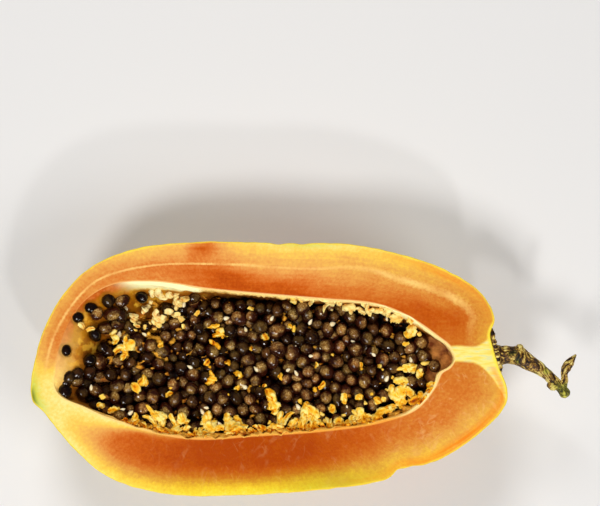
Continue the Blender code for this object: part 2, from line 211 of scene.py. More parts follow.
# Clumps of torn placenta: x, y, length along x, length along y, and where they lean to, as a bearing in
# degrees.
CLUMPS = [
    (-46.6, -18.6, 9, 10, 120), (-37.3, -20.6, 7, 9, 130), (-63.5, -17.7, 5, 3, 160),
    (-25.6, -22.3, 9, 8, 130), (-12.4, -21.5, 12, 7, 140), (5.0, -21.0, 15, 6, 100), (3.3, -13.2, 7, 9, 60),
    (9.9, -21.0, 5, 5, 60), (15.7, -18.2, 4, 10, 80), (17.3, -18.6, 7, 11, 100), (23.1, -23.1, 4, 3, 60),
    (31.4, -22.3, 7, 4, 100), (41.3, -19.0, 10, 9, 120), (50.7, -16.1, 6, 5, 130), (33.4, -11.6, 5, 5, 90),
    (39.6, -10.7, 4, 4, 90), (53.2, -8.7, 11, 11, 135), (62.3, -11.6, 7, 6, 150), (57.5, 1.4, 9, 4, 165),
    (63.2, -1.4, 4, 4, 140), (22.7, -8.3, 5, 2.5, 0), (-51.2, 24.8, 3.5, 4, 250),
    (-48.4, 27.6, 2.2, 2.4, 60), (-48.6, 31.4, 3, 3, 262), (-46.4, 30.8, 5, 6, 265),
    (-42.4, 30.8, 5, 6, 262), (-38.2, 29.0, 4, 6, 250), (-34.4, 28.6, 4, 4, 255),
    (-45.4, 22.0, 5.6, 5, 250), (-39.0, 23.7, 3.6, 4.6, 60), (-54.0, 20.0, 4.8, 4.4, 240),
    (-53.4, 16.4, 4, 3, 200), (-46.6, 18.2, 3.6, 4.6, 260), (-35.3, 21.0, 2.6, 4, 90),
    (-34.6, 17.6, 2.6, 3.4, 80), (-44.6, 10.4, 4.5, 2.4, 160), (-61.1, 9.5, 6, 9, 60),
    (-73.4, 17.7, 6, 3, 0), (-28.9, 23.1, 4.5, 2.4, 0), (-20.2, 15.2, 9, 3.6, 0), (-21.9, 10.7, 3, 4, 60),
    (-6.6, 24.8, 2.6, 2.6, 270), (-1.2, 14.0, 3, 4.5, 80), (-12.4, -1.7, 4, 3, 0), (-21.5, -2.9, 4, 8, 90),
    (4.5, -3.7, 3, 3, 0), (-50.7, -5.8, 4, 4, 0), (13.0, 27.9, 6, 2.4, 352), (19.4, 27.4, 6, 2.4, 356),
    (25.0, 26.9, 6, 3, 172), (29.6, 26.0, 7, 3.6, 352), (34.5, 25.6, 7, 3.8, 350), (39.4, 25.0, 7, 4, 168),
    (43.8, 24.2, 7, 3.6, 345), (48.0, 23.2, 7, 3.6, 340), (52.0, 21.2, 7, 3.6, 150),
    (57.3, 15.2, 5, 7, 230), (56.5, 9.5, 4.5, 2.5, 180), (60.2, 17.2, 5, 5, 320), (28.5, 7.0, 3, 3, 0),
    (39.6, 1.7, 2, 3, 90), (-56.0, -19.5, 6, 4, 110), (-63.0, 14.5, 4, 4, 60), (-58.5, 5.5, 4, 4, 90),
    (-52.0, -7.5, 6, 4, 20), (-24.5, 2.0, 3, 4, 90), (-16.5, 3.0, 3, 3, 0), (-13.0, -8.0, 3, 2.5, 0),
    (-1.0, -5.5, 3, 3, 60), (-41.0, -10.0, 4, 3, 160), (-6.5, 8.5, 3, 3, 0), (9.5, 18.5, 3, 2.5, 0),
    (21.0, 1.5, 3, 2, 0), (47.0, 0.5, 3, 2.5, 0), (26.0, -15.0, 5, 5, 60), (-32.0, -23.5, 5, 3, 100),
    (-18.5, -23.5, 5, 3, 100), (-3.0, -22.8, 5, 3, 90), (36.0, -20.5, 4, 3, 100), (46.5, -12.5, 5, 4, 120),
    (66.5, -7.5, 4, 4, 160), (56.0, -13.5, 5, 4, 130), (-69.0, -14.5, 5, 3, 160),
]
# Undeveloped white seeds: x, y and the bearing of their long axis in degrees.
WHITE_SEEDS = [
    (-34.7, 26.8, 75), (-9.1, 16.5, 110), (12.0, 10.7, 80), (-9.5, -7.4, 145), (-32.2, 0.8, 150),
    (-4.7, 0.0, 130), (17.9, 19.4, 60), (27.2, 18.6, 20), (49.5, 20.6, 100), (22.7, 9.1, 45),
    (59.4, 3.7, 100), (18.2, 5.4, 0), (8.7, -0.4, 30), (12.0, -1.7, 120), (-61.5, 14.4, 80),
    (-59.0, 25.2, 110), (-51.2, 14.4, 150), (-72.6, -7.8, 90), (-59.4, -16.9, 20), (-56.1, -18.2, 40),
    (-25.2, -16.1, 170), (-26.8, -17.7, 120), (-19.4, -23.1, 120), (12.8, -15.7, 120), (49.5, -4.1, 60),
    (36.0, 12.0, 30), (-17.0, 21.0, 10), (44.0, 6.0, 140), (2.0, 21.0, 60), (33.0, -16.0, 100),
]

# ---------------------------------------------------------------- colours, lamps and view
# Stops of ramps: position, and red, green and blue from 0 to 255.
PEACH_COLOURS = [
    (0.00, (240, 224, 140)), (0.08, (244, 214, 112)), (0.22, (243, 196, 84)), (0.36, (234, 174, 84)),
    (0.50, (227, 154, 76)), (0.66, (216, 122, 50)), (0.84, (200, 90, 18)), (1.00, (176, 68, 4)),
]
GOLDEN_COLOURS = [
    (0.00, (234, 222, 84)), (0.10, (238, 210, 40)), (0.25, (228, 184, 34)), (0.42, (206, 146, 26)),
    (0.60, (192, 110, 16)), (0.80, (182, 82, 6)), (1.00, (168, 64, 0)),
]
STRIP_COLOURS = [(0.35, (242, 212, 96)), (0.52, (244, 226, 128)), (0.66, (222, 218, 152))]
WALL_COLOURS = [
    (0.0, (255, 218, 132)), (0.06, (250, 200, 104)), (0.13, (208, 138, 54)), (0.3, (140, 78, 24)),
    (1.0, (50, 22, 6)),
]
GOLDEN_WALL_COLOURS = [(0.0, (252, 186, 78)), (0.1, (246, 168, 46)), (0.5, (140, 70, 10))]
SKIN_COLOURS = [
    (0.28, (186, 178, 46)), (0.4, (222, 196, 46)), (0.52, (241, 190, 48)), (0.64, (238, 162, 44)),
    (0.78, (222, 128, 38)),
]
# The curds by how lit they are painted: dark brown as painted shade in their depths, pale cream as painted
# light on their tops and folds.
CURD_LIT_SHADE_COLOURS = [
    (0.0, (110, 44, 2)), (0.22, (204, 104, 6)), (0.45, (242, 166, 24)), (0.75, (254, 202, 66)),
    (1.0, (255, 230, 130)),
]
# The same by the low lip, more orange.
LIP_CURD_LIT_SHADE_COLOURS = [
    (0.25, (166, 64, 0)), (0.52, (232, 134, 12)), (0.74, (252, 182, 44)), (1.1, (255, 226, 120)),
]
# The heap's core: black as painted shade where it sinks, golden where its membranes rise.
BED_SHADE_COLOURS = [(0.1, (8, 4, 3)), (0.4, (54, 24, 6)), (0.75, (158, 88, 16)), (1.1, (226, 160, 50))]
BROWN_BARK = [(0.12, (16, 7, 2)), (0.36, (92, 56, 16)), (0.55, (172, 132, 46)), (0.82, (232, 210, 120))]
GREEN_BARK = [(0.1, (16, 14, 2)), (0.45, (98, 94, 16)), (0.85, (196, 188, 70))]
SOFT_GLOW = {"Subsurface Scale": 0.003, "Subsurface Radius": (1.0, 0.45, 0.2)}
GOLDEN_LIP_ENDS = (0.05, 0.064)  # metres along, between which the low lip's golden edge fades out

# Lamps: name, place and size in metres, power in watts, and whether they show in gloss.
LAMPS = [
    ("key", (-0.4, -0.62, 1.15), 0.32, 8.1, True),
    ("fill", (0.75, -0.5, 1.0), 0.6, 5.7, False),
    ("back", (-0.2, 0.9, 1.15), 0.6, 10.7, False),
    ("glint", (0.25, -0.95, 0.9), 0.1, 3.0, True),
]
FLOOR_REACH = 3000.0
FLOOR_DROP = 0.02
VIEW_WIDTH = 0.2475  # metres across the view, at the cut face
VIEW_CENTRE = (0.0136, 0.0474)  # what the camera looks at on the cut face, in metres
VIEW_ELEVATION = 84.0
LENS = 100.0
SENSOR = 36.0


# ---------------------------------------------------------------- curves and fields


def closed_curve(points):
    """A smooth closed curve through the points: a centripetal Catmull-Rom spline, as an array of (x, y)."""
    points = np.array(points, float)
    before, after, beyond = (np.roll(points, shift, axis=0) for shift in (1, -1, -2))
    spans = [np.sqrt(np.linalg.norm(b - a, axis=1)) for a, b in
             ((before, points), (points, after), (after, beyond))]
    knots = np.cumsum([np.zeros(len(points)), *spans], axis=0)[:, :, None, None]
    corners = [corner[:, None, :] for corner in (before, points, after, beyond)]
    at = knots[1] + (knots[2] - knots[1]) * np.arange(CURVE_STEPS)[None, :, None] / CURVE_STEPS

    def between(a, b, low, high):
        """From a to b, by how far along from the low knot to the high one."""
        return ((knots[high] - at) * a + (at - knots[low]) * b) / (knots[high] - knots[low])

    first = between(corners[0], corners[1], 0, 1)
    second = between(corners[1], corners[2], 1, 2)
    third = between(corners[2], corners[3], 2, 3)
    return between(between(first, second, 0, 2), between(second, third, 1, 3), 1, 2).reshape(-1, 2)


RIM_CURVE = closed_curve(RIM)
LIP_CURVE = closed_curve(LIP)


def polar_radius(curve, centre, angles):
    """How far the closed curve lies from the centre, at each angle."""
    offset = curve - centre
    bearing = np.arctan2(offset[:, 1], offset[:, 0])
    order = np.argsort(bearing)
    return np.interp(angles, bearing[order], np.hypot(*offset.T)[order], period=2 * math.pi)


def lip_radius(angles):
    """How far the hollow's lip lies from its centre, at each angle."""
    return polar_radius(LIP_CURVE, HOLLOW_CENTRE, angles)


def round_centre(x, y):
    """The angle at which each (x, y) lies round the hollow's centre, and how far from it."""
    dx, dy = x - HOLLOW_CENTRE[0], y - HOLLOW_CENTRE[1]
    return np.arctan2(dy, dx), np.hypot(dx, dy)


def from_centre(angles, far):
    """The x and y that lie so far from the hollow's centre, at each angle."""
    return HOLLOW_CENTRE[0] + far * np.cos(angles), HOLLOW_CENTRE[1] + far * np.sin(angles)


def bearing_of(angles):
    """Angles in radians as bearings from 0 to 360 degrees."""
    return np.degrees(angles) % 360


def by_bearing(table, angles):
    """The columns of a table of (bearing in degrees, value, ...), eased from row to row round the fruit."""
    table = np.array(table, float)
    fine = np.arange(0, 360, 1.0)
    spread = np.exp(-((np.arange(-EASING_REACH, EASING_REACH + 1) / EASING_WIDTH) ** 2))
    results = []
    for column in table.T[1:]:
        values = np.interp(fine, table[:, 0], column, period=360)
        padded = np.concatenate([values[-EASING_REACH:], values, values[:EASING_REACH]])
        eased = np.convolve(padded, spread / spread.sum(), mode="valid")
        results.append(np.interp(np.degrees(angles), fine, eased, period=360))
    return results


def distance_to(curve, points):
    """The distance from each point (x, y, ...) to the nearest point of a closed curve."""
    flat = points[..., :2].reshape(-1, 2)
    start, end = curve, np.roll(curve, -1, axis=0)
    along = end - start
    length = (along**2).sum(axis=1)
    nearest = np.full(len(flat), np.inf)
    for chunk in range(0, len(flat), CHUNK):
        here = flat[chunk:chunk + CHUNK, None, :]
        share = np.clip(((here - start) * along).sum(axis=2) / length, 0, 1)
        gap = here - start - share[:, :, None] * along
        nearest[chunk:chunk + CHUNK] = np.sqrt((gap**2).sum(axis=2).min(axis=1))
    return nearest.reshape(points.shape[:-1])


def waves(points, wavelength, seed, count=10):
    """A smooth random field of about unit size: plane cosine waves in random directions, added."""
    rng = np.random.default_rng(seed)
    heading = rng.normal(size=(count, points.shape[-1]))
    heading /= np.linalg.norm(heading, axis=1, keepdims=True)
    heading *= 2 * math.pi / wavelength * rng.uniform(0.6, 1.5, (count, 1))
    phase = rng.uniform(0, 2 * math.pi, count)
    return np.cos(points @ heading.T + phase).sum(axis=-1) * math.sqrt(2 / count)


def at(*parts):
    """Points from their coordinates, each of which may vary along either parameter."""
    return np.stack(np.broadcast_arrays(*parts), axis=-1)


def smooth(low, high, value):
    """0 below low, 1 above high, and an even S between."""
    share = np.clip((value - low) / (high - low), 0, 1)
    return share * share * (3 - 2 * share)


def bump(value, middle, width):
    """1 at the middle, falling off as a bell of that half width."""
    return np.exp(-(((value - middle) / width) ** 2))


def with_bells(base, bells, angles):
    """The base, with a bell added at each listed bearing."""
    value = base
    for middle, width, height in bells:
        value = value + height * bump(bearing_of(angles), middle, width)
    return value


def spot(x, y, middle, size):
    """1 at a spot on the cut face, falling off as a bell of those half widths along x and y."""
    return bump(x, middle[0], size[0]) * bump(y, middle[1], size[1])


# ---------------------------------------------------------------- the fruit's surface


def column_bearings():
    """Bearings round the fruit, set so that the columns lie about evenly along its long outline."""
    turn = np.linspace(0, 2 * math.pi, COLUMNS, endpoint=False)
    return np.arctan2(HALF_WIDTH * np.sin(turn), HALF_LENGTH * np.cos(turn))


def rim_radius(angles):
    """The rim's distance from the middle, with the knife's small scallops and a fine waver."""
    radius = polar_radius(RIM_CURVE, (0, 0), angles)
    for bearing, width, depth in NICKS:
        away = np.angle(np.exp(1j * (angles - math.radians(bearing)))) * radius
        radius = radius - depth * bump(away, 0, width)
    ring = at(np.cos(angles) * radius, np.sin(angles) * radius)
    return (radius - 0.06 * (1 + waves(ring, 7.0, 3))) * SNUG


def skin_surface(angles, drop):
    """The round back: superellipse arcs from the lowest point, where drop is a right angle, up to the rim
    at 0."""
    across = np.abs(np.sin(angles) / HALF_WIDTH)
    along = np.abs(np.cos(angles) / HALF_LENGTH)
    oval = SNUG * (across**END_SQUARENESS + along**END_SQUARENESS) ** (-1 / END_SQUARENESS)
    bumps = rim_radius(angles) - oval
    power = 2 / (2 + (END_SQUARENESS - 2) * np.cos(angles) ** 2)
    reach = (oval + bumps * np.exp(-((np.degrees(drop) / RIM_FADE) ** 2))) * np.cos(drop) ** power
    x, y = reach * np.cos(angles), reach * np.sin(angles)
    depth = BACK_DEPTH * np.sin(drop) ** power
    round_axis = np.arctan2(depth, y)
    swell = 1 + RIDGE * np.sin(RIDGE_COUNT * round_axis) * np.clip(1 - (x / HALF_LENGTH) ** 2, 0, 1)
    surface = at(x, y * swell, CUT - depth * swell)
    dent = 0.16 * (1 + waves(surface, 24.0, 5)) + 0.035 * (1 + waves(surface, 5.0, 6))
    inward = -surface + (0, 0, CUT)
    inward /= np.linalg.norm(inward, axis=-1, keepdims=True)
    surface += inward * (dent * smooth(0, 8, depth))[..., None]
    surface[..., 2] = np.maximum(surface[..., 2], 0)
    return surface


def wall_squareness(angles):
    """The shape of the hollow's wall at each angle: steep, but for a gentle slope at the blossom end."""
    away = np.degrees(np.angle(np.exp(1j * (angles - math.radians(SLOPE_ANGLE)))))
    return WALL_SQUARENESS + (SLOPE_SQUARENESS - WALL_SQUARENESS) * np.exp(-((away / SLOPE_SPREAD) ** 2))


def gentleness(angles):
    """1 in the middle of the gentle slope, 0 by the steep walls."""
    return (WALL_SQUARENESS - wall_squareness(angles)) / (WALL_SQUARENESS - SLOPE_SQUARENESS)


def soften(angles, depth, inset):
    """The depth of the hollow's wall, held on the gentle slope to a curve that leaves the lip level and
    steepens."""
    bearing = bearing_of(angles)
    share = np.where(bearing < 166, bump(bearing, 166, 38), smooth(197, 184, bearing))
    return depth + share * (np.minimum(depth, 0.55 * inset**2 / (inset + 3) + 0.02 * inset**2) - depth)


def lip_roll(angles):
    """Width of the soft rolled edge of the hollow: broad at the top left, thin along the bottom."""
    return with_bells(0.7, ROLL_BELLS, angles)


def hollow_surface(angles, drop):
    """The hollow's superellipse wall. The top of it rolls in from the lip as a quarter of an oval, and
    below that it has the ridges and pits of torn fibres."""
    squareness = wall_squareness(angles)
    fall = np.sin(drop) ** (2 / squareness)
    depth = HOLLOW_DEPTH * fall
    rolled = np.sqrt(1 - (1 - np.clip(depth / ROLL_DEPTH, 0, 1)) ** 2) * (1 - 0.6 * smooth(3, 14, depth))
    reach = lip_radius(angles) * np.cos(drop) ** (2 / squareness)
    edge = at(np.cos(angles) * 60, np.sin(angles) * 40, depth * 0.5)
    ragged = (0.22 + 0.35 * gentleness(angles)) * waves(edge, 5.0, 11) + 0.12 * waves(edge, 2.2, 12)
    ragged = ragged * (1 - 0.75 * bump(bearing_of(angles), 105, 35))
    depth = soften(angles, depth, lip_radius(angles) - reach)
    waver = 0.28 * waves(edge, 7.0, 14) + 0.16 * waves(edge, 3.0, 15)
    waver = waver * (1 - 0.7 * bump(bearing_of(angles), 90, 50))
    reach = reach - (0.1 + waver) * (1 - gentleness(angles))
    reach = np.maximum(reach - rolled * lip_roll(angles) - ragged * smooth(0.1, 1.5, depth) * np.cos(drop), 0)
    return at(*from_centre(angles, reach), CUT - depth)


def face_relief(points):
    """How far the cut face lies below the knife's plane: slow waves, and a finer grain."""
    flat = points[..., :2]
    return 0.14 * (1 + np.tanh(waves(flat, 34.0, 21))) + 0.02 * (1 + np.tanh(waves(flat, 4.0, 22)))


def vessel_line(points, angles, rim_mm):
    """How far each point is from the pale line of vessels, and how strong the line is there."""
    inset, strength, breadth = by_bearing(VESSELS, angles)
    wander = 0.4 * waves(points[..., :2], 45.0, 31)
    broken = 0.85 + 0.25 * waves(points[..., :2], 14.0, 32)
    return np.abs(rim_mm - inset - wander) / breadth, np.clip(strength * broken, 0, 1)


def stalk_strip(x, y):
    """1 within the hard pale strip that runs to the stalk, which flares before the rim, and 0 outside."""
    wide = 2.9 + 0.11 * np.maximum(x - 84, 0) ** 1.85
    middle = 5.9 - 0.09 * np.maximum(x - 80, 0)
    return smooth(wide + 0.9, wide - 0.7, np.abs(y - middle)) * smooth(74, 77, x)


def ripeness(points, angles, rim_mm, lip_mm):
    """How ripe the cut flesh looks, from the skin in to the hollow."""
    outer, reach, inner = by_bearing(RIPENING, angles)
    near = rim_mm / reach
    slow = np.interp(near, *np.array(SLOW_RIPENING).T)
    on_top = bump(bearing_of(angles), 75, 58)
    share = smooth(-0.05, 1.05, near) * (1 - on_top) + slow * on_top
    value = outer + (inner - outer) * share
    x, y = points[..., 0], points[..., 1]
    # A ripe patch that runs out to the skin, the hard pale core to the stalk, and the pale blossom end.
    value += 0.52 * spot(x, y, (-26, 50), (7.5, 4.5))
    value *= 1 - stalk_strip(x, y)
    tip = spot(x, y, (-92, -12), (9, 12))
    by_lip = bump(lip_mm, 0, 1.5 + 5.5 * smooth(-50, -80, x)) * smooth(-24, -60, x) * smooth(4, -8, y)
    value *= (1 - 0.9 * by_lip) * (1 - 0.7 * tip)
    return np.clip(value, 0, 1.05)


def round_seeds(points):
    """1 against the seeds that have a place of their own, falling to 0 within 1.4 mm of them."""
    stain_and_shade = np.zeros(points.shape[:-1])
    for x, y, radius, _ in LONE_SEEDS:
        away = np.hypot(points[..., 0] - x, points[..., 1] - y)
        stain_and_shade = np.maximum(stain_and_shade, smooth(radius + 1.4, radius - 0.6, away))
    return stain_and_shade


def seed_pits(points):
    """How deep the flesh gives under the seeds that lie where the hollow is shallow."""
    return 1.2 * round_seeds(points) * smooth(-60, -70, points[..., 0]) * smooth(0, 6, points[..., 1])


def fruit_fields(rows, angles):
    """What the materials read at each point of the fruit: distances from its edges, and how strong each
    look is."""
    x, y, z = np.moveaxis(rows, -1, 0)
    degrees, bearing = np.degrees(angles), bearing_of(angles)
    rim_mm, lip_mm = distance_to(RIM_CURVE * SNUG, rows), distance_to(LIP_CURVE, rows)
    vessel_mm, vessels = vessel_line(rows, angles, rim_mm)
    golden, fibrous = by_bearing(GOLDEN, angles)
    tip_green = np.maximum(spot(x, y, (-96, -12), (7, 9)), 0.5 * spot(x, y, (16, 52), (12, 3)))
    blush = 0.85 * bump(degrees - 360 * (angles > 0), -20, 24) + 0.6 * bump(degrees, 28, 13)
    fields = {
        "ripeness": ripeness(rows, angles, rim_mm, lip_mm), "vessels": vessels, "vessel_mm": vessel_mm,
        "rim_mm": rim_mm, "lip_mm": lip_mm, "depth_mm": CUT - z, "golden": golden, "fibrous": fibrous,
        "slope": gentleness(angles),
        "green": tip_green * bump(rim_mm, 0, 4),
        "blush": blush * bump(rim_mm, 2.0, 1.9),
        "yellow_mm": 0.2 + 0.9 * bump(degrees, 3, 10),
        "olive": 0.55 * spot(x, y, (30, -47), (24, 8)) * bump(rim_mm, 2, 6),
        "core": stalk_strip(x, y),
        "layered": bump(bearing, 80, 62),
        "edged": 1 - bump(bearing, 168, 25),
        "cream": smooth(1.0, 2.0, lip_roll(angles)) * (z > CUT - CREAM_DEPTH),
        "stain_and_shade": round_seeds(rows),
    }
    return {name: np.broadcast_to(field, rows.shape[:2]) for name, field in fields.items()}, rim_mm


def make_fruit():
    """The whole fruit as one closed surface: skin, rim, cut face, lip and hollow."""
    angles = column_bearings()[None, :]
    skin_drop = (math.pi / 2 * (1 - np.linspace(0, 1, SKIN_ROWS + 1)[1:]))[:, None]
    skin = skin_surface(angles, skin_drop)[:-1]
    radius = rim_radius(angles)
    turn = np.linspace(0, math.pi / 2, BEVEL_ROWS)[:, None]
    reach = radius - RIM_ROUNDING * (1 - np.cos(turn))
    bevel = at(reach * np.cos(angles), reach * np.sin(angles), CUT - RIM_ROUNDING * (1 - np.sin(turn)))
    hollow_drop = (math.pi / 2 * np.linspace(0, 1, HOLLOW_ROWS + 1)[:-1] ** 3)[:, None]
    hollow = hollow_surface(angles, hollow_drop)
    hollow[..., 2] -= seed_pits(hollow)
    share = np.linspace(0, 1, FACE_ROWS + 2)[1:-1, None, None]
    face = bevel[-1] + (hollow[0] - bevel[-1]) * share
    bevel[..., 2] -= face_relief(bevel) * np.sin(turn)
    face[..., 2] = CUT - face_relief(face) - seed_pits(face)
    hollow[..., 2] -= face_relief(hollow) * (1 - smooth(0, 4, CUT - hollow[..., 2]))

    rows = np.concatenate([skin, bevel, face, hollow])
    poles = np.array([[0, 0, 0], [*HOLLOW_CENTRE, CUT - HOLLOW_DEPTH]])
    quads, triangles = closed_grid(*rows.shape[:2])
    # Which material each band of quads has, and each of the two rings of triangles.
    zone = np.repeat([0, 0, 1, 2], [len(skin), BEVEL_ROWS - 1, FACE_ROWS + 1, HOLLOW_ROWS])
    zones = np.repeat([*zone[:-1], 0, 2], COLUMNS)
    fields, rim_mm = fruit_fields(rows, angles)
    strand = at(radius * np.cos(angles), radius * np.sin(angles), rim_mm) * MM
    return add_mesh(
        "papaya_half", np.concatenate([rows.reshape(-1, 3), poles]), quads, triangles,
        [skin_material(), flesh_material(), lining_material()], zones,
        {name: np.append(field.ravel(), [0, 0]) for name, field in fields.items()},
        {"strand": np.concatenate([strand.reshape(-1, 3), np.zeros((2, 3))])},
    )


# ---------------------------------------------------------------- the hollow's filling


def heap_top(x, y):
    """Height of the heap's dished top at each (x, y), without its lumps."""
    angles, far = round_centre(x, y)
    share = np.minimum(far / lip_radius(angles), 1)
    edge = HEAP_EDGE_DEPTH + (HEAP_SLOPE_DEPTH - HEAP_EDGE_DEPTH) * gentleness(angles)
    return CUT - (HEAP_MIDDLE_DEPTH - (HEAP_MIDDLE_DEPTH - edge) * share**HEAP_DISH)


def wall_reach(angles, depth):
    """How far the hollow's wall is from its centre, at each angle and depth: a superellipse arc."""
    squareness = wall_squareness(angles)
    sunk = np.clip(depth / HOLLOW_DEPTH, 0, 1) ** squareness
    return lip_radius(angles) * (1 - sunk) ** (1 / squareness)


def wall_depth(x, y):
    """How deep the hollow's wall is under each (x, y)."""
    angles, far = round_centre(x, y)
    squareness, lip = wall_squareness(angles), lip_radius(angles)
    share = np.clip(far / lip, 0, 1)
    return soften(angles, HOLLOW_DEPTH * (1 - share**squareness) ** (1 / squareness), lip * (1 - share))


def ground(x, y, above_heap=0.0):
    """Height of the highest of the heap, the hollow's wall and the lip's rolled edge at each (x, y)."""
    angles, far = round_centre(x, y)
    share = (lip_radius(angles) - far) / np.maximum(lip_roll(angles), 0.05)
    roll = np.where(share < 1, CUT - ROLL_DEPTH * (1 - np.sqrt(1 - np.clip(share, 0, 1) ** 2)), 0)
    return np.maximum(np.maximum(heap_top(x, y) + above_heap, CUT - wall_depth(x, y)), roll)


def hold_inside(places, radii):
    """Moves balls that stick through the hollow's wall, or out of its mouth, back in."""
    places[:, 2] = np.minimum(places[:, 2], CUT - 0.4 - 1.1 * radii)
    depth = CUT - places[:, 2]
    angles, far = round_centre(*places[:, :2].T)
    held_off = with_bells(0.2, CLEAR_BELLS, angles)
    most = wall_reach(angles, depth) - lip_roll(angles) * smooth(14, 3, depth) - held_off
    scale = np.minimum(1, (most - radii) / np.maximum(far, TINY))
    places[:, :2] = HOLLOW_CENTRE + (places[:, :2] - HOLLOW_CENTRE) * scale[:, None]
    places[:, 0] = np.minimum(places[:, 0], POCKET_EDGE - 0.3 * np.abs(places[:, 1] - 4))
    resting = CUT - wall_depth(*places[:, :2].T) + 0.8 * radii
    places[:, 2] += np.maximum(resting - places[:, 2], 0) * smooth(0.2, 0.6, gentleness(angles))


def scatter_seeds(rng):
    """Random places (x, y) in the hollow, radii, and how far each seed lies under the heap's top. None are
    on the bare slope or under the pale pulp, and there are fewer at the upper left."""
    start = rng.uniform((-84, -27), (68, 33), (4 * SEED_COUNT, 2))
    x, y = start.T
    angles, far = round_centre(x, y)
    inside = far < lip_radius(angles) - 3
    bare = ((x + 80) / 14) ** 2 + ((y - 10) / 17) ** 2 < 1
    pale = ((x + 54) / 17) ** 2 + ((y - 27) / 7) ** 2 < 1
    thin = (x < -34) & (y > 3) & (rng.uniform(size=len(start)) < 0.55)
    start = start[inside & ~bare & ~pale & ~thin][:SEED_COUNT]
    count = len(start)
    radii = np.clip(rng.normal(SEED_RADIUS, 0.36, count), 2.1, 3.6)
    layer = np.where(rng.uniform(size=count) < 0.5, rng.uniform(0, 3.0, count), rng.uniform(4.0, 8.5, count))
    return start, radii, layer


def seat_lone_seeds():
    """The places, radii, tones and flattening of the seeds with a place of their own. Each lies in the top
    of the heap or on the hollow's wall, whichever is higher, and is flattened where that is close under
    the cut."""
    x, y, radii, tone_and_shade = np.array(LONE_SEEDS, float).T
    low = CUT - wall_depth(x, y) + 0.8 * radii
    high = np.maximum(heap_top(x, y) - radii + 1.7 * smooth(66, 69, x), low)
    flat = np.where(high > CUT - 0.4 - 1.15 * radii, FLATTENED, 1.0)
    return np.column_stack([x, y, np.minimum(high, CUT - 0.35 - 1.15 * flat * radii)]), radii, tone_and_shade, flat


def in_heap_top(listed):
    """Places in the top of the heap, from rows that start with x and y."""
    return np.column_stack([listed[:, :2], heap_top(*listed[:, :2].T) - 1.0])


def settle(places, radii, layer, fixed, fixed_radii):
    """Settles the balls: pairs that overlap move apart, each is drawn to its own layer under the heap's
    top, and the fixed balls and the hollow's wall push them aside and in."""
    count = len(places)
    reach = SEED_CRAMMING * (radii[:, None] + np.concatenate([radii, fixed_radii])[None, :])
    for _ in range(SETTLING_STEPS):
        target = heap_top(places[:, 0], places[:, 1]) - radii - layer
        places[:, 2] += (target - places[:, 2]) * SETTLING_PULL
        gap = places[:, None, :] - np.concatenate([places, fixed])[None, :, :]
        away = np.sqrt((gap**2).sum(axis=2)) + 1e-9
        push = np.clip(reach - away, 0, None) / away
        push[np.arange(count), np.arange(count)] = 0
        push[:, :count] *= 0.5
        places += SETTLING_PUSH * (gap * push[:, :, None]).sum(axis=1)
        hold_inside(places, radii)


def place_seeds():
    """The places, radii, tones and flattening of all seeds, with painted shade on the buried ones and those
    in the valley left of the middle. The settled ones keep off the clumps of placenta, the seeds with a place
    of their own, and the clearings."""
    rng = np.random.default_rng(7)
    start, radii, layer = scatter_seeds(rng)
    count = len(start)
    places = np.column_stack([start, heap_top(*start.T) - radii - layer])
    clumps, clear = np.array(CLUMPS, float), np.array(CLEARINGS)
    lone_places, lone_radii, lone_tone, lone_flat = seat_lone_seeds()
    fixed = np.concatenate([in_heap_top(clumps), lone_places, in_heap_top(clear)])
    fixed_radii = np.concatenate([0.36 * np.sqrt(clumps[:, 2] * clumps[:, 3]), lone_radii, clear[:, 2]])
    settle(places, radii, layer, fixed, fixed_radii)
    x, y, height = places.T
    # Tone varies at random and by region; painted shade darkens the seeds in the valley left of the middle
    # and those buried under the heap's top.
    tone_and_shade = rng.beta(1.2, 1.25, count) - 0.25 * spot(x, y, (-22, 0), (24, 12))
    tone_and_shade += 0.1 * smooth(0, 40, x) - 0.2 * smooth(-50, -75, x)
    tone_and_shade = np.clip(tone_and_shade, 0.08, 1) * (1 - 0.75 * smooth(1.5, 4.5, heap_top(x, y) - radii - height))
    return (np.concatenate([places, lone_places]), np.concatenate([radii, lone_radii]),
            np.concatenate([tone_and_shade, lone_tone]), np.concatenate([np.ones(count), lone_flat]))


def make_seeds():
    """Every seed as a copy of one of a few lumpy eggs of 54 faces, turned at random."""
    places, radii, tone_and_shade, flat = place_seeds()
    rng = np.random.default_rng(8)
    ball, quads = ball_grid(BALL_CELLS)
    count = len(places)
    limits = ((0.98, 1.3), (0.92, 1.03), (0.84, 0.97))
    stretch = np.column_stack([rng.uniform(*limit, count) for limit in limits])
    turns = random_turns(rng, count)
    shifts = [rng.uniform(-9, 9, 3) for _ in range(SEED_SHAPES)]
    lumps = 1 + 0.035 * np.stack([waves(ball + shift, 1.3, 40 + kind) for kind, shift in enumerate(shifts)])
    kinds = rng.integers(0, SEED_SHAPES, count)
    shape = ball[None] * lumps[kinds][:, :, None] * (stretch * radii[:, None])[:, None, :]
    points = turned(turns, shape)
    points[..., 2] *= flat[:, None]
    points += places[:, None, :]
    points[..., 2] = np.minimum(points[..., 2], CUT - 0.2)
    # The lit crown is painted light: the side of each seed that faces up, a little aside, is given the
    # paler coat, and its other sides the dark gel as painted shade.
    bright = np.concatenate([rng.normal(0, 0.3, (count, 2)), np.ones((count, 1))], axis=1)
    bright /= np.linalg.norm(bright, axis=1, keepdims=True)
    lit_crown = np.einsum("sij,pj,si->sp", turns, ball, bright)
    warm = rng.uniform(0, 1, count)
    fields = {"tone_and_shade": np.repeat(tone_and_shade, len(ball)), "lit_crown": lit_crown.ravel(), "warm": np.repeat(warm, len(ball))}
    quads = copied(quads, len(ball), count)
    return add_mesh("seeds", points.reshape(-1, 3), quads, NO_FACES, [seed_material()], floats=fields)


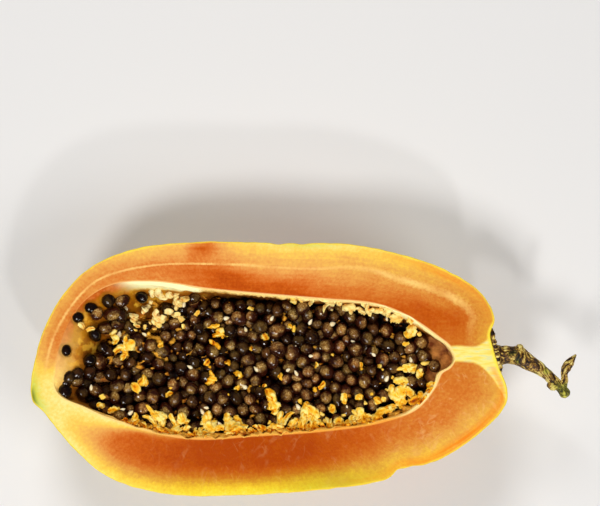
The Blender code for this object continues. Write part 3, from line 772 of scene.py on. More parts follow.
def make_white_seeds():
    """Small ivory teardrops: circles along an axis, whose radius is a sine that leans to the blunt end."""
    rng = np.random.default_rng(9)
    listed = np.array(WHITE_SEEDS, float)
    places, bearings = listed[:, :2], np.radians(listed[:, 2])
    count, rings, sides = len(places), 6, 8
    length = rng.uniform(2.2, 3.1, count)[:, None, None]
    width = length * rng.uniform(0.24, 0.33, count)[:, None, None]
    along = np.linspace(0, 1, rings + 2)[None, 1:-1, None]
    turn = np.linspace(0, 2 * math.pi, sides, endpoint=False)[None, None, :]
    girth = width * np.sin(math.pi * along**0.7) ** 0.8
    body = at((along - 0.5) * length, girth * np.cos(turn), girth * np.sin(turn)).reshape(count, -1, 3)
    ends = np.concatenate([at(end * length, 0, 0) for end in (-0.5, 0.5)], axis=1).reshape(count, 2, 3)
    body = np.concatenate([body, ends], axis=1)
    turns = leaning_turns(bearings, rng.uniform(-0.5, 0.5, count))
    height = np.maximum(heap_top(*places.T) - 0.2, CUT - wall_depth(*places.T) + 0.6)
    points = turned(turns, body) + np.column_stack([places, height])[:, None, :]
    quads, triangles = (copied(faces, body.shape[1], count) for faces in closed_grid(rings, sides))
    return add_mesh("white_seeds", points.reshape(-1, 3), quads, triangles, [white_seed_material()])


def list_flaps(rng):
    """The torn flaps of placenta, as rows of root x, root y, depth of the root, length, width, bearing,
    and rise of the tip. Each clump is a sheaf of flaps that run its way; a fringe of small ones follows
    the lower lip."""
    clumps = np.array(CLUMPS, float)
    area = clumps[:, 2] * clumps[:, 3]
    rows = np.repeat(np.arange(len(clumps)), (1 + area / 14).astype(int))
    x, y, long, high, bearing = clumps[rows].T
    count = len(rows)
    way = np.radians(bearing + rng.normal(0, 20, count))
    # The clump's extent along its own bearing, and across it.
    reach = np.hypot(long * np.cos(np.radians(bearing)), high * np.sin(np.radians(bearing)))
    breadth = np.hypot(long * np.sin(np.radians(bearing)), high * np.cos(np.radians(bearing)))
    length = np.clip(0.8 * reach, 1.5, 7.5) * rng.uniform(0.6, 1.05, count)
    width = np.clip(0.3 * breadth, 0.55, 1.25) * rng.uniform(0.65, 1.25, count)
    aside = rng.uniform(-0.42, 0.42, count) * breadth
    back = rng.uniform(0.5, 1.0, count) * reach - 0.5 * length
    root = (x - back * np.cos(way) - aside * np.sin(way), y - back * np.sin(way) + aside * np.cos(way))
    sunk = rng.uniform(0.0, 1.8, count)
    sheaf = np.column_stack([*root, sunk, length, width, way, rng.uniform(-0.5, 2.0, count)])

    around = np.radians(rng.uniform(203, 349, FRINGE_COUNT))
    uneven = 0.5 + 0.5 * np.clip(waves(at(np.cos(around) * 60, np.sin(around) * 40), 12.0, 81), -1, 1)
    around, uneven = around[uneven > 0.25], uneven[uneven > 0.25]
    few = len(around)
    root = from_centre(around, lip_radius(around) - lip_roll(around) - 0.4)
    lean = np.radians(rng.normal(125, 28, few))
    sunk, length = rng.uniform(-0.8, 0.6, few), (1.4 + 3.2 * uneven) * rng.uniform(0.5, 1.1, few)
    width, rise = rng.uniform(0.5, 0.9, few), rng.uniform(-1.4, 0.2, few)
    return np.concatenate([sheaf, np.column_stack([*root, sunk, length, width, lean, rise])])


def flap_surfaces(rng, flaps):
    """Each flap is an oval tube bent along its length: its girth swells from the root and closes at the
    tip, with folds that run along it and lobes across it. Gives points, and how far out each stands on its
    fold, which the placenta's colour takes as a painted highlight."""
    rings, sides = 17, 12
    x, y, sunk, length, width, way, rise = (part[:, None, None] for part in flaps.T)
    count = len(flaps)
    share = (np.arange(rings) / (rings - 1))[None, :, None]
    turn = np.linspace(0, 2 * math.pi, sides, endpoint=False)[None, None, :]
    curl = rng.normal(0, 0.5, (count, 1, 1))
    veer = way + curl * share
    px, py = x + length * share * np.cos(veer), y + length * share * np.sin(veer)
    angles, far = round_centre(px, py)
    inset = lip_radius(angles) - far
    by_lip = smooth(8, 1.5, inset) * np.maximum(smooth(-4, -12, py), smooth(10, 18, px) * smooth(14, 19, py))
    seat = ground(px, py, -0.6) + 1.5 * smooth(-20, -40, px) * smooth(2, 10, py) + 1.3 * by_lip
    level = seat - sunk * (1 - share) + rise * share + 0.25 * width * np.sin(3.0 * share + way)
    phase = rng.uniform(0, 6, (count, 1, 1))
    folds = rng.integers(2, 4, (count, 1, 1))
    fold = np.cos(folds * turn + phase + 1.5 * share) + 0.5 * np.cos(7 * share * length / 6 + 2 * phase)
    place = at(px, py, level) + 2.0 * at(np.cos(turn), np.sin(turn), 0.0)
    lobes = waves(place, 2.8, 83) + 0.5 * waves(place, 1.5, 84)
    girth = width * (0.95 + 0.25 * np.sin(math.pi * share)) * np.sqrt(np.clip(1 - share**9, 0.02, 1))
    girth = girth * (1 + 0.12 * fold + 0.2 * lobes)
    roll = phase + 0.8 * share
    wide, thick = girth * np.cos(turn), 0.75 * girth * np.sin(turn)
    rolled = 0.5 * np.sin(roll)
    across = wide * np.cos(rolled) - thick * np.sin(rolled)
    lifted = wide * np.sin(rolled) + thick * np.cos(rolled)
    points = at(px - across * np.sin(veer), py + across * np.cos(veer), level + lifted)
    return points, 0.5 + 0.25 * fold + 0.25 * lobes


def place_crumbs(rng):
    """Lumpy little balls between the clumps, as points by crumb, and the quads of one."""
    listed = np.array(CLUMPS, float)[rng.integers(0, len(CLUMPS), CRUMB_COUNT)]
    x = listed[:, 0] + rng.normal(0, 0.5, CRUMB_COUNT) * listed[:, 2]
    y = listed[:, 1] + rng.normal(0, 0.5, CRUMB_COUNT) * listed[:, 3]
    size = rng.uniform(0.5, 1.2, (CRUMB_COUNT, 1))
    size = size * rng.uniform((1.0, 0.7, 0.6), (1.6, 1.1, 1.0), (CRUMB_COUNT, 3))
    level = ground(x, y, -rng.uniform(0.2, 2.0, CRUMB_COUNT)) + 0.2
    ball, quads = ball_grid(BALL_CELLS)
    lumps = 1 + 0.22 * waves(ball[None] + rng.uniform(-9, 9, (CRUMB_COUNT, 1, 3)), 1.6, 85)
    shape = ball[None] * lumps[..., None] * size[:, None, :]
    return turned(random_turns(rng, CRUMB_COUNT), shape) + at(x, y, level)[:, None], quads


def make_placenta():
    """Torn yellow placenta: flaps in sheaves, and crumbs between them, held inside the lip and under the
    cut."""
    rng = np.random.default_rng(10)
    rows, fold = flap_surfaces(rng, list_flaps(rng))
    count, rings, sides = rows.shape[:3]
    ends = np.stack([rows[:, 0].mean(axis=1), rows[:, -1].mean(axis=1)], axis=1)
    tubes = np.concatenate([rows.reshape(count, -1, 3), ends], axis=1)
    quads, triangles = (copied(faces, tubes.shape[1], count) for faces in closed_grid(rings, sides))
    bits, bit_quads = place_crumbs(rng)
    bit_quads = copied(bit_quads, bits.shape[1], CRUMB_COUNT) + tubes.shape[0] * tubes.shape[1]
    points = np.concatenate([tubes.reshape(-1, 3), bits.reshape(-1, 3)])
    angles, far = round_centre(*points[:, :2].T)
    reach = lip_radius(angles) - 0.3
    scale = np.minimum(1, reach / np.maximum(far, TINY))
    points[:, :2] = HOLLOW_CENTRE + (points[:, :2] - HOLLOW_CENTRE) * scale[:, None]
    # Eased under the cut, so that no flap ends in a flat.
    points[:, 2] = CUT - 0.3 - 0.5 * np.log1p(np.exp((CUT - 0.3 - points[:, 2]) / 0.5))
    # How far each point stands out on its fold, for the painted highlight; the crumbs get a middling one.
    tube_fold_highlight = np.concatenate([fold.reshape(count, -1), np.full((count, 2), 0.5)], axis=1)
    folds = np.concatenate([tube_fold_highlight.ravel(), np.full(bits.shape[0] * bits.shape[1], 0.6)])
    x, y = points[:, :2].T
    by_lip = smooth(5.0, 1.2, reach - far) * smooth(4, -4, y) * smooth(66, 54, x)
    return add_mesh("placenta", points, np.concatenate([quads, bit_quads]), triangles, [placenta_material()],
                    floats={"fold": folds, "by_lip": by_lip})


def make_seed_bed():
    """The heap's core: its top sinks evenly under the heap's, but for membranes that rise between the
    seeds and a web that rises to the low lip, and its underside follows the hollow."""
    angles = column_bearings()[None, ::2]
    bearing = bearing_of(angles)
    outward = np.linspace(0, 1, BED_ROWS)[1:, None]
    by_stalk = bump(np.degrees(angles), 0, 13)
    by_low_side = smooth(196, 206, bearing) * smooth(352, 342, bearing)
    held_off = (1 - np.maximum(by_stalk, by_low_side)) * (lip_roll(angles) + 1.9)
    lip = lip_radius(angles) - held_off - 0.3 * by_low_side
    x, y = from_centre(angles, lip * outward)
    place = at(x, y)
    torn = waves(place, 6.0, 52) + 0.7 * waves(place, 3.0, 53) + 1.5 * smooth(-12, -50, x) * smooth(-6, 8, y)
    risen = smooth(0.2, 1.6, torn - 0.55) * smooth(68, 61, x)
    web = by_low_side * smooth(3.9, 0.6, distance_to(LIP_CURVE, place) + 0.7 * waves(place, 5.0, 55))
    top = heap_top(x, y) - HEAP_CORE + 0.7 * waves(place, 7.0, 51) + 4.0 * risen + 0.3 * waves(place, 2.4, 54)
    top += 3.0 * smooth(62, 69, x) + 2.8 * by_stalk * smooth(64, 76, x)
    top += (CUT - 2.2 + 0.5 * waves(place, 3.0, 56) - top) * web
    floor = np.minimum(CUT - wall_depth(x, y) + BED_GAP, top - 0.6)
    rows = np.concatenate([at(x, y, top), at(x, y, floor)[::-1]])
    heights = CUT - HEAP_MIDDLE_DEPTH - HEAP_CORE, CUT - HOLLOW_DEPTH + BED_GAP
    poles = np.array([[*HOLLOW_CENTRE, height] for height in heights])
    quads, triangles = closed_grid(*rows.shape[:2])
    underside = np.zeros(risen.size + len(poles))
    fields = {"risen": np.maximum(risen, 0.8 * web), "web": web}
    fields = {name: np.append(field.ravel(), underside) for name, field in fields.items()}
    points = np.concatenate([rows.reshape(-1, 3), poles])
    return add_mesh("seed_bed", points, quads[:, ::-1], triangles[:, ::-1], [bed_material()], floats=fields)


# ---------------------------------------------------------------- the stalk


def open_curve(points, steps):
    """A smooth open curve through points of any number of parts: cubic Hermite spans with central slopes."""
    points = np.array(points, float)
    slope = np.gradient(points, axis=0)
    share = np.linspace(0, 1, steps, endpoint=False)[None, :, None]
    start, end, leave, arrive = points[:-1, None], points[1:, None], slope[:-1, None], slope[1:, None]
    spans = ((2 * share**3 - 3 * share**2 + 1) * start + (share**3 - 2 * share**2 + share) * leave
             + (3 * share**2 - 2 * share**3) * end + (share**3 - share**2) * arrive)
    return np.concatenate([spans.reshape(-1, points.shape[1]), points[-1:]])


def limb(path, seed, strands=3, depth=0.22, twist=0.12, steps=12, sides=56):
    """A gnarled limb: a circle carried along a smooth path. Its radius swells over a few strands that
    twist round it, with sharp cracks between them and finer fibres over them, and closes at both ends.
    Gives rows of points and, for each, how far along it is in millimetres, which way round in turns, and
    how high on its strand."""
    curve = open_curve([(x, y, CUT + z, radius) for x, y, z, radius in path], steps)
    middle, radius = curve[:, :3], curve[:, 3]
    heading = np.gradient(middle, axis=0)
    heading /= np.linalg.norm(heading, axis=1, keepdims=True)
    side = np.cross(heading, (0, 0, 1))
    side /= np.linalg.norm(side, axis=1, keepdims=True)
    up = np.cross(side, heading)
    along = np.concatenate([[0], np.cumsum(np.linalg.norm(np.diff(middle, axis=0), axis=1))])[:, None]
    turn = np.linspace(0, 2 * math.pi, sides, endpoint=False)[None, :]
    field = at(np.cos(turn) * 3 + 0 * along, np.sin(turn) * 3, along * 0.6)
    bent = turn + twist * along + 0.35 * waves(field, 6.0, seed)
    crest = np.abs(np.sin(strands * bent)) ** 0.6
    fibre = np.abs(np.sin((4 * strands + 1) * bent + 2.0))
    knots = waves(at(np.cos(turn) * 2, np.sin(turn) * 2, along), 4.5, seed + 1)
    high = 0.62 * crest + 0.2 * fibre + 0.18 * knots
    from_end = np.minimum(along, along[-1] - along) / radius[:, None]
    closing = np.sqrt(1 - (1 - np.clip(0.15 + 1.1 * from_end, 0, 1)) ** 2)
    shape = radius[:, None] * closing * (1.06 - depth + depth * high)
    rows = (middle[:, None] + shape[..., None] * (np.cos(turn)[..., None] * side[:, None]
                                                  + np.sin(turn)[..., None] * up[:, None]))
    return rows, np.broadcast_to(along, shape.shape), bent / (2 * math.pi), high


def scar_ring():
    """The dried scar that the stalk grows from: a cracked disc with a raised rim, whose top the knife cut
    off level, so that its outline is the nearer of a circle and that line."""
    turn_by, turn = math.radians(SCAR_TURN), np.linspace(0, 2 * math.pi, SCAR_SIDES, endpoint=False)[None, :]
    share = np.array([0.35, 0.6, 0.78, 0.9, 1.0, 1.02, 1.0, 0.9, 0.6])[:, None]
    lift = np.array([0.2, 0.15, 0.35, 0.5, 0.4, 0.0, -0.4, -0.5, -0.5])[:, None] * SCAR_THICKNESS
    field = at(np.cos(turn) * share * 9, np.sin(turn) * share * 9)
    level = -SCAR_MIDDLE[2] - 0.15
    outline = SCAR_RADIUS * (0.97 + 0.025 * waves(field[4:5, :], 4.0, 61))
    outline = np.minimum(outline, level / np.maximum(np.sin(turn), 0.01))
    reach = outline * np.minimum(share, 1.0 + 0.02 * (np.sin(turn) < 0))
    lift = lift + 0.22 * waves(field, 2.5, 62) * (lift > 0)
    across = np.array([-math.sin(turn_by), math.cos(turn_by), 0])
    out = np.array([math.cos(turn_by), math.sin(turn_by), 0])
    rows = (np.array(SCAR_MIDDLE) + (0, 0, CUT) + lift[..., None] * out
            + reach[..., None] * (np.cos(turn)[..., None] * across + np.sin(turn)[..., None] * (0, 0, 1.0)))
    along, around = np.broadcast_arrays(share * SCAR_RADIUS, turn / (2 * math.pi))
    return rows, along, around, 0.5 + 0.3 * waves(field, 2.0, 63)


def make_stalk():
    """The limb with its twigs, leaf scar and disc-shaped scar, joined in one mesh. Each part closes to the
    middle of its end rings."""
    parts = [limb(STALK, 71, 5, 0.16), limb(BUD_TWIG, 73, 2, 0.3, 0.3), limb(BROKEN_SHOOT, 75, 3, 0.3, 0.1),
             limb(LEAF_SCAR, 77, 3, 0.25, 0.1), scar_ring()]
    points, quads, triangles, fields, total = [], [], [], [], 0
    for rows, *measures in parts:
        four, three = closed_grid(*rows.shape[:2])
        points.append(np.concatenate([rows.reshape(-1, 3), [rows[0].mean(axis=0), rows[-1].mean(axis=0)]]))
        quads.append(four[:, ::-1] + total)
        triangles.append(three[:, ::-1] + total)
        fields.append([np.append(field.ravel(), (field[0].mean(), field[-1].mean())) for field in measures])
        total += len(points[-1])
    points = np.concatenate(points)
    points[:, 0] = np.minimum(points[:, 0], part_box("stalk")[1].x / MM - UNDER_CUT)
    points[:, 2] = np.minimum(points[:, 2], CUT - UNDER_CUT)
    along, around, high = (np.concatenate(field) for field in zip(*fields))
    quads, triangles = np.concatenate(quads), np.concatenate(triangles)
    return add_mesh("papaya_stalk", points, quads, triangles, [bark_material()],
                    floats={"along": along, "around": around, "high": high})


# ---------------------------------------------------------------- meshes


def ball_grid(cells):
    """A unit ball of 6 square grids: the points of a cube's faces pushed out to the sphere, and its
    quads."""
    step = np.tan(np.linspace(-math.pi / 4, math.pi / 4, cells + 1))
    u, v = (part.ravel() for part in np.meshgrid(step, step, indexing="ij"))
    one = np.ones_like(u)
    faces = [(one, u, v), (-one, v, u), (v, one, u), (u, -one, v), (u, v, one), (v, u, -one)]
    points = np.concatenate([np.column_stack(face) for face in faces])
    corner = np.arange((cells + 1) ** 2).reshape(cells + 1, cells + 1)
    near, far = corner[:-1], corner[1:]
    square = np.stack([near[:, :-1], far[:, :-1], far[:, 1:], near[:, 1:]], axis=-1).reshape(-1, 4)
    quads = copied(square, corner.size, len(faces))
    _, first, merged = np.unique(np.round(points, 6), axis=0, return_index=True, return_inverse=True)
    points = points[first] / np.linalg.norm(points[first], axis=1, keepdims=True)
    return points, merged.ravel()[quads]


def turned(turns, points):
    """The points of each copy of a shape, turned by that copy's rotation matrix."""
    return np.einsum("sij,spj->spi", turns, points)


def copied(faces, points_each, count):
    """The faces of a shape, repeated for that many copies whose points follow each other."""
    return (faces[None] + points_each * np.arange(count)[:, None, None]).reshape(-1, faces.shape[1])


def random_turns(rng, count):
    """Rotation matrices, evenly random, from random quaternions."""
    w, x, y, z = rng.normal(size=(count, 4)).T
    size = np.sqrt(w * w + x * x + y * y + z * z)
    w, x, y, z = w / size, x / size, y / size, z / size
    rows = [(1 - 2 * (y * y + z * z), 2 * (x * y - w * z), 2 * (x * z + w * y)),
            (2 * (x * y + w * z), 1 - 2 * (x * x + z * z), 2 * (y * z - w * x)),
            (2 * (x * z - w * y), 2 * (y * z + w * x), 1 - 2 * (x * x + y * y))]
    return np.stack([np.stack(row, axis=-1) for row in rows], axis=-2)


def leaning_turns(bearings, tilts):
    """Rotation matrices whose first axis points along each bearing and up by each tilt."""
    forward = at(np.cos(bearings) * np.cos(tilts), np.sin(bearings) * np.cos(tilts), np.sin(tilts))
    across = at(-np.sin(bearings), np.cos(bearings), 0 * bearings)
    return np.stack([forward, across, np.cross(forward, across)], axis=-1)


def closed_grid(rows, columns):
    """Quads of a grid whose columns close into rings, and triangles from each end ring to a pole. The two
    poles are the points after the grid's."""
    point = np.arange(rows * columns).reshape(rows, columns)
    beside = np.roll(point, -1, axis=1)
    quads = np.stack([point[:-1], beside[:-1], beside[1:], point[1:]], axis=-1).reshape(-1, 4)
    first, last = rows * columns, rows * columns + 1
    low = np.stack([beside[0], point[0], np.full(columns, first)], axis=-1)
    high = np.stack([point[-1], beside[-1], np.full(columns, last)], axis=-1)
    return quads, np.concatenate([low, high])


def add_mesh(name, points, quads, triangles, materials, material_index=None, floats=None, vectors=None):
    """A smooth shaded object at the origin, from points in millimetres, with an attribute for each of the
    floats and vectors."""
    mesh = bpy.data.meshes.new(name)
    corners = np.concatenate([quads.ravel(), triangles.ravel()])
    starts = np.concatenate([4 * np.arange(len(quads)), quads.size + 3 * np.arange(len(triangles))])
    mesh.vertices.add(len(points))
    mesh.vertices.foreach_set("co", (points * MM).astype(np.float32).ravel())
    mesh.loops.add(len(corners))
    mesh.loops.foreach_set("vertex_index", corners.astype(np.int32))
    mesh.polygons.add(len(starts))
    mesh.polygons.foreach_set("loop_start", starts.astype(np.int32))
    if material_index is not None:
        mesh.polygons.foreach_set("material_index", material_index.astype(np.int32))
    for key, values in (floats or {}).items():
        mesh.attributes.new(key, "FLOAT", "POINT").data.foreach_set("value", values.astype(np.float32))
    for key, values in (vectors or {}).items():
        data = mesh.attributes.new(key, "FLOAT_VECTOR", "POINT").data
        data.foreach_set("vector", values.astype(np.float32).ravel())
    mesh.update(calc_edges=True)
    mesh.shade_smooth()
    for material in materials:
        mesh.materials.append(material)
    made = bpy.data.objects.new(name, mesh)
    bpy.context.scene.collection.objects.link(made)
    return made


# ---------------------------------------------------------------- materials


class Nodes:
    """A short hand for building the nodes of one material. Mixed and ramped colours are given as the eye
    sees them, as red, green and blue from 0 to 255."""

    def __init__(self, tree):
        """For the node tree of one material."""
        self.tree = tree

    def add(self, kind, settings=None, values=(), **named):
        """A node with these settings, whose inputs are given in order or by name."""
        node = self.tree.nodes.new(kind)
        for key, value in (settings or {}).items():
            setattr(node, key, value)
        for key, value in [*enumerate(values), *named.items()]:
            self.put(node.inputs[key], value)
        return node

    def put(self, socket, value):
        """Links another node's output to the socket, or sets the socket to a plain value."""
        if isinstance(value, bpy.types.NodeSocket):
            self.tree.links.new(value, socket)
        else:
            socket.default_value = value

    def attribute(self, name, output="Fac"):
        """What the mesh says under this name, at each point."""
        return self.add("ShaderNodeAttribute", {"attribute_name": name}).outputs[output]

    def place(self):
        """Where each point is, in metres."""
        return self.add("ShaderNodeTexCoord").outputs["Object"]

    def split(self, vector):
        """The outputs X, Y and Z of a vector."""
        return self.add("ShaderNodeSeparateXYZ", Vector=vector).outputs

    def mapped(self, vector, scale, kind="TEXTURE", turn=0.0):
        """The vector turned and scaled: TEXTURE draws a pattern out by the scale, and POINT squeezes it."""
        return self.add("ShaderNodeMapping", {"vector_type": kind}, Vector=vector, Rotation=(0, 0, turn),
                        Scale=scale).outputs[0]

    def math(self, operation, first, second=0.0):
        """One sum on two values."""
        return self.add("ShaderNodeMath", {"operation": operation}, (first, second)).outputs[0]

    def plus(self, first, second):
        """The two values added."""
        return self.math("ADD", first, second)

    def times(self, first, second):
        """The two values multiplied."""
        return self.math("MULTIPLY", first, second)

    def shared(self, name, make, **inputs):
        """The output of a group of nodes that several materials share, which is made on its first use."""
        group = bpy.data.node_groups.get(name) or make(name)
        return self.add("ShaderNodeGroup", {"node_tree": group}, **inputs).outputs[0]

    def vary(self, value, noise, amount):
        """The value with a noise laid on it."""
        return self.shared("laid_noise", laid_noise, Value=value, Noise=noise, Amount=amount)

    def ripe_flesh(self, ripeness, golden):
        """The colour of flesh that is so ripe, and so golden rather than peach."""
        return self.shared("ripe_flesh", ripe_flesh, Ripeness=ripeness, Golden=golden)

    def golden_lip(self, along):
        """How golden the low lip is, at points so far along."""
        return self.shared("golden_lip", golden_lip, Along=along, Fibrous=self.attribute("fibrous"))

    def near_half(self, noise):
        """How far a noise is from its middle value, which is 0 along winding lines."""
        return self.math("ABSOLUTE", self.math("SUBTRACT", noise, 0.5))

    def range(self, value, low, high, to_low=0.0, to_high=1.0):
        """The value from low to high, eased and held to the range from to_low to to_high."""
        return self.add("ShaderNodeMapRange", {"interpolation_type": "SMOOTHSTEP"},
                        (value, low, high, to_low, to_high)).outputs[0]

    def mix(self, factor, first, second):
        """From the first colour to the second, by a factor held between 0 and 1."""
        node = self.add("ShaderNodeMix", {"data_type": "RGBA", "clamp_factor": True}, (factor,))
        for socket, colour in zip(node.inputs[6:8], (first, second)):
            self.put(socket, srgb(*colour) if isinstance(colour, tuple) else colour)
        return node.outputs[2]

    def ramp(self, factor, stops):
        """The colour that a row of stops (position, colour) gives for the factor."""
        node = self.add("ShaderNodeValToRGB", values=(factor,))
        elements = node.color_ramp.elements
        while len(elements) < len(stops):
            elements.new(0.5)
        for element, (position, colour) in zip(elements, stops):
            element.position = position
            element.color = srgb(*colour)
        return node.outputs["Color"]

    def noise(self, vector, scale, detail=2.0, roughness=0.5, distortion=0.0):
        """A smooth random value between 0 and 1, mostly near a half."""
        return self.add("ShaderNodeTexNoise", Vector=vector, Scale=scale, Detail=detail, Roughness=roughness,
                        Distortion=distortion).outputs["Fac"]

    def cells(self, vector, scale):
        """The distance to the nearest of many scattered points."""
        return self.add("ShaderNodeTexVoronoi", Vector=vector, Scale=scale).outputs["Distance"]

    def bump(self, height, distance):
        """The surface's direction, once that height is laid on it: 1 stands so many metres out."""
        return self.add("ShaderNodeBump", Height=height, Distance=distance).outputs["Normal"]


def new_group(name, inputs, output, kind):
    """A group with named number inputs and one output, the short hand for its nodes, and its inputs."""
    group = bpy.data.node_groups.new(name, "ShaderNodeTree")
    for given in inputs:
        group.interface.new_socket(given, in_out="INPUT", socket_type="NodeSocketFloat")
    group.interface.new_socket(output, in_out="OUTPUT", socket_type=kind)
    n = Nodes(group)
    return group, n, n.add("NodeGroupInput").outputs


def laid_noise(name):
    """The group that lays a noise on a value: value + (noise - 0.5) * amount."""
    group, n, given = new_group(name, ("Value", "Noise", "Amount"), "Value", "NodeSocketFloat")
    swing = n.times(n.math("SUBTRACT", given["Noise"], 0.5), given["Amount"])
    n.add("NodeGroupOutput", Value=n.plus(given["Value"], swing))
    return group


def ripe_flesh(name):
    """The group that colours flesh: along the peach or the golden ramp by its ripeness, and between them."""
    group, n, given = new_group(name, ("Ripeness", "Golden"), "Colour", "NodeSocketColor")
    peach, golden = (n.ramp(given["Ripeness"], stops) for stops in (PEACH_COLOURS, GOLDEN_COLOURS))
    n.add("NodeGroupOutput", Colour=n.mix(given["Golden"], peach, golden))
    return group


def golden_lip(name):
    """The group that finds the low lip's golden edge: where the flesh is fibrous, fading to the stalk."""
    group, n, given = new_group(name, ("Along", "Fibrous"), "Golden", "NodeSocketFloat")
    reach = n.range(given["Along"], *GOLDEN_LIP_ENDS, 1.0, 0.0)
    n.add("NodeGroupOutput", Golden=n.times(given["Fibrous"], reach))
    return group


def srgb(red, green, blue):
    """A colour given as the eye sees it, from 0 to 255, as the linear colour that a shader takes."""
    shown = np.array([red, green, blue]) / 255
    linear = np.where(shown <= 0.04045, shown / 12.92, ((shown + 0.055) / 1.055) ** 2.4)
    return (*(float(part) for part in linear), 1.0)


def start(name):
    """A material, and the short hand for its nodes."""
    made = bpy.data.materials.new(name)
    made.use_nodes = True
    return made, Nodes(made.node_tree)


def finish(made, n, values):
    """The material, once its Principled shader's sockets have these values, changing or plain."""
    shader = made.node_tree.nodes["Principled BSDF"]
    for name, value in values.items():
        n.put(shader.inputs[name], value)
    return made


def flesh_material():
    """Cut flesh, coloured by how ripe it is, with mottling, grain, and layers that follow the skin."""
    made, n = start("cut_flesh")
    place, strand = n.place(), n.attribute("strand", "Vector")
    patches, mottle = n.noise(place, 150.0, 4.0, 0.6), n.noise(place, 820.0, 3.0, 0.65)
    grain = n.noise(n.mapped(strand, (1.0, 1.0, 0.10), "POINT"), 900.0, 2.0)
    streaks = n.noise(n.mapped(strand, (0.05, 0.05, 1.0), "POINT"), 850.0, 3.0)
    ripe = n.attribute("ripeness")
    for noise, amount in ((patches, 0.30), (mottle, 0.34), (grain, 0.10),
                          (streaks, n.range(n.attribute("layered"), 0.0, 1.0, 0.12, 0.28))):
        ripe = n.vary(ripe, noise, amount)
    colour = flesh_wisps(n, place, n.ripe_flesh(ripe, n.attribute("golden")))
    colour = flesh_inside(n, place, mottle, colour)
    colour = flesh_by_skin(n, patches, streaks, colour)
    return finish(made, n, {
        "Base Color": colour, "Roughness": n.range(patches, 0.3, 0.7, 0.4, 0.52),
        "Normal": n.bump(n.plus(n.times(mottle, 0.6), n.times(grain, 0.4)), 0.0002),
        "Specular IOR Level": 0.1, "Subsurface Weight": 0.06, **SOFT_GLOW,
    })


def flesh_wisps(n, place, colour):
    """Short pale wisps of fibre in the low lobe: the winding lines of a drawn out noise, laid three ways."""
    side = n.split(place)
    low_side = n.range(side["Y"], 0.006, -0.004, 0.15, 1.0)
    for turn, scale in ((0.75, 330.0), (2.1, 400.0), (1.3, 300.0)):
        laid = n.mapped(place, (2.2, 1.0, 1.0), turn=turn)
        line = n.range(n.near_half(n.noise(laid, scale, 1.0, 0.5, 0.4)), 0.0, 0.08, 0.085, 0.0)
        wisp = n.times(line, n.range(n.noise(laid, 0.7 * scale, 1.0), 0.56, 0.72))
        wisp = n.times(wisp, n.times(n.range(side["X"], 0.05, 0.08, 1.0, 3.6), low_side))
        colour = n.mix(n.times(wisp, n.attribute("fibrous")), colour, (246, 196, 128))
    return colour


def flesh_inside(n, place, mottle, colour):
    """Adds the green tip, the olive patch, the hard strip to the stalk, the pale lip and the line of
    vessels."""
    green = n.attribute("green")
    colour = n.mix(green, colour, n.mix(n.range(green, 0.55, 1.0), (184, 198, 46), (104, 122, 24)))
    colour = n.mix(n.attribute("olive"), colour, (170, 150, 40))
    strip = n.ramp(n.noise(n.mapped(place, (5.0, 1.0, 1.0)), 900.0, 2.0), STRIP_COLOURS)
    colour = n.mix(n.attribute("core"), colour, strip)
    by_lip = n.times(n.range(n.attribute("lip_mm"), 0.1, 0.8, 0.9, 0.0), n.attribute("edged"))
    edge = n.mix(n.golden_lip(n.split(place)["X"]), (255, 216, 140), (246, 168, 66))
    colour = n.mix(by_lip, colour, edge)
    line = n.range(n.vary(n.attribute("vessel_mm"), mottle, 0.9), 0.0, 0.85, 0.85, 0.0)
    return n.mix(n.times(line, n.attribute("vessels")), colour, (251, 208, 120))


def flesh_by_skin(n, patches, streaks, colour):
    """Adds the orange blush just inside the skin, and the yellow edge."""
    blush = n.times(n.attribute("blush"), n.range(streaks, 0.35, 0.6, 0.5, 1.0))
    colour = n.mix(blush, colour, (236, 124, 8))
    edge = n.math("SUBTRACT", n.attribute("rim_mm"), n.attribute("yellow_mm"))
    edge = n.range(n.vary(edge, patches, 1.4), -0.3, 0.9, 0.85, 0.0)
    return n.mix(edge, colour, (250, 224, 70))


def lining_material():
    """The hollow's wall, pale at the lip and dark below, the bare slope, the brown pocket by the stalk,
    and the cream lip at the upper left."""
    made, n = start("hollow_lining")
    place, depth = n.place(), n.attribute("depth_mm")
    along = n.split(place)["X"]
    fibre = n.noise(place, 420.0, 4.0, 0.6)
    deep = n.vary(depth, fibre, 3.0)
    sunk = n.range(deep, 0.0, 16.0)
    wall = n.mix(n.golden_lip(along), n.ramp(sunk, WALL_COLOURS), n.ramp(sunk, GOLDEN_WALL_COLOURS))
    colour = n.mix(n.attribute("slope"), wall, slope_colour(n, place, depth, deep, sunk, fibre))
    pocket = n.times(n.range(along, 0.066, 0.071), n.range(deep, 1.2, 3.0))
    colour = n.mix(pocket, colour, n.ramp(fibre, [(0.4, (160, 86, 42)), (0.62, (208, 146, 84))]))
    cream = n.times(n.attribute("cream"), n.range(deep, 2.0, 3.6, 1.0, 0.0))
    creamy = n.ramp(n.range(deep, 0.0, 4.0), [(0.2, (255, 246, 184)), (0.8, (252, 214, 116))])
    return finish(made, n, {
        "Base Color": n.mix(cream, colour, creamy), "Roughness": n.range(fibre, 0.3, 0.7, 0.25, 0.45),
        "Normal": n.bump(fibre, 0.0004), "Specular IOR Level": 0.06, "Subsurface Weight": 0.05, **SOFT_GLOW,
    })


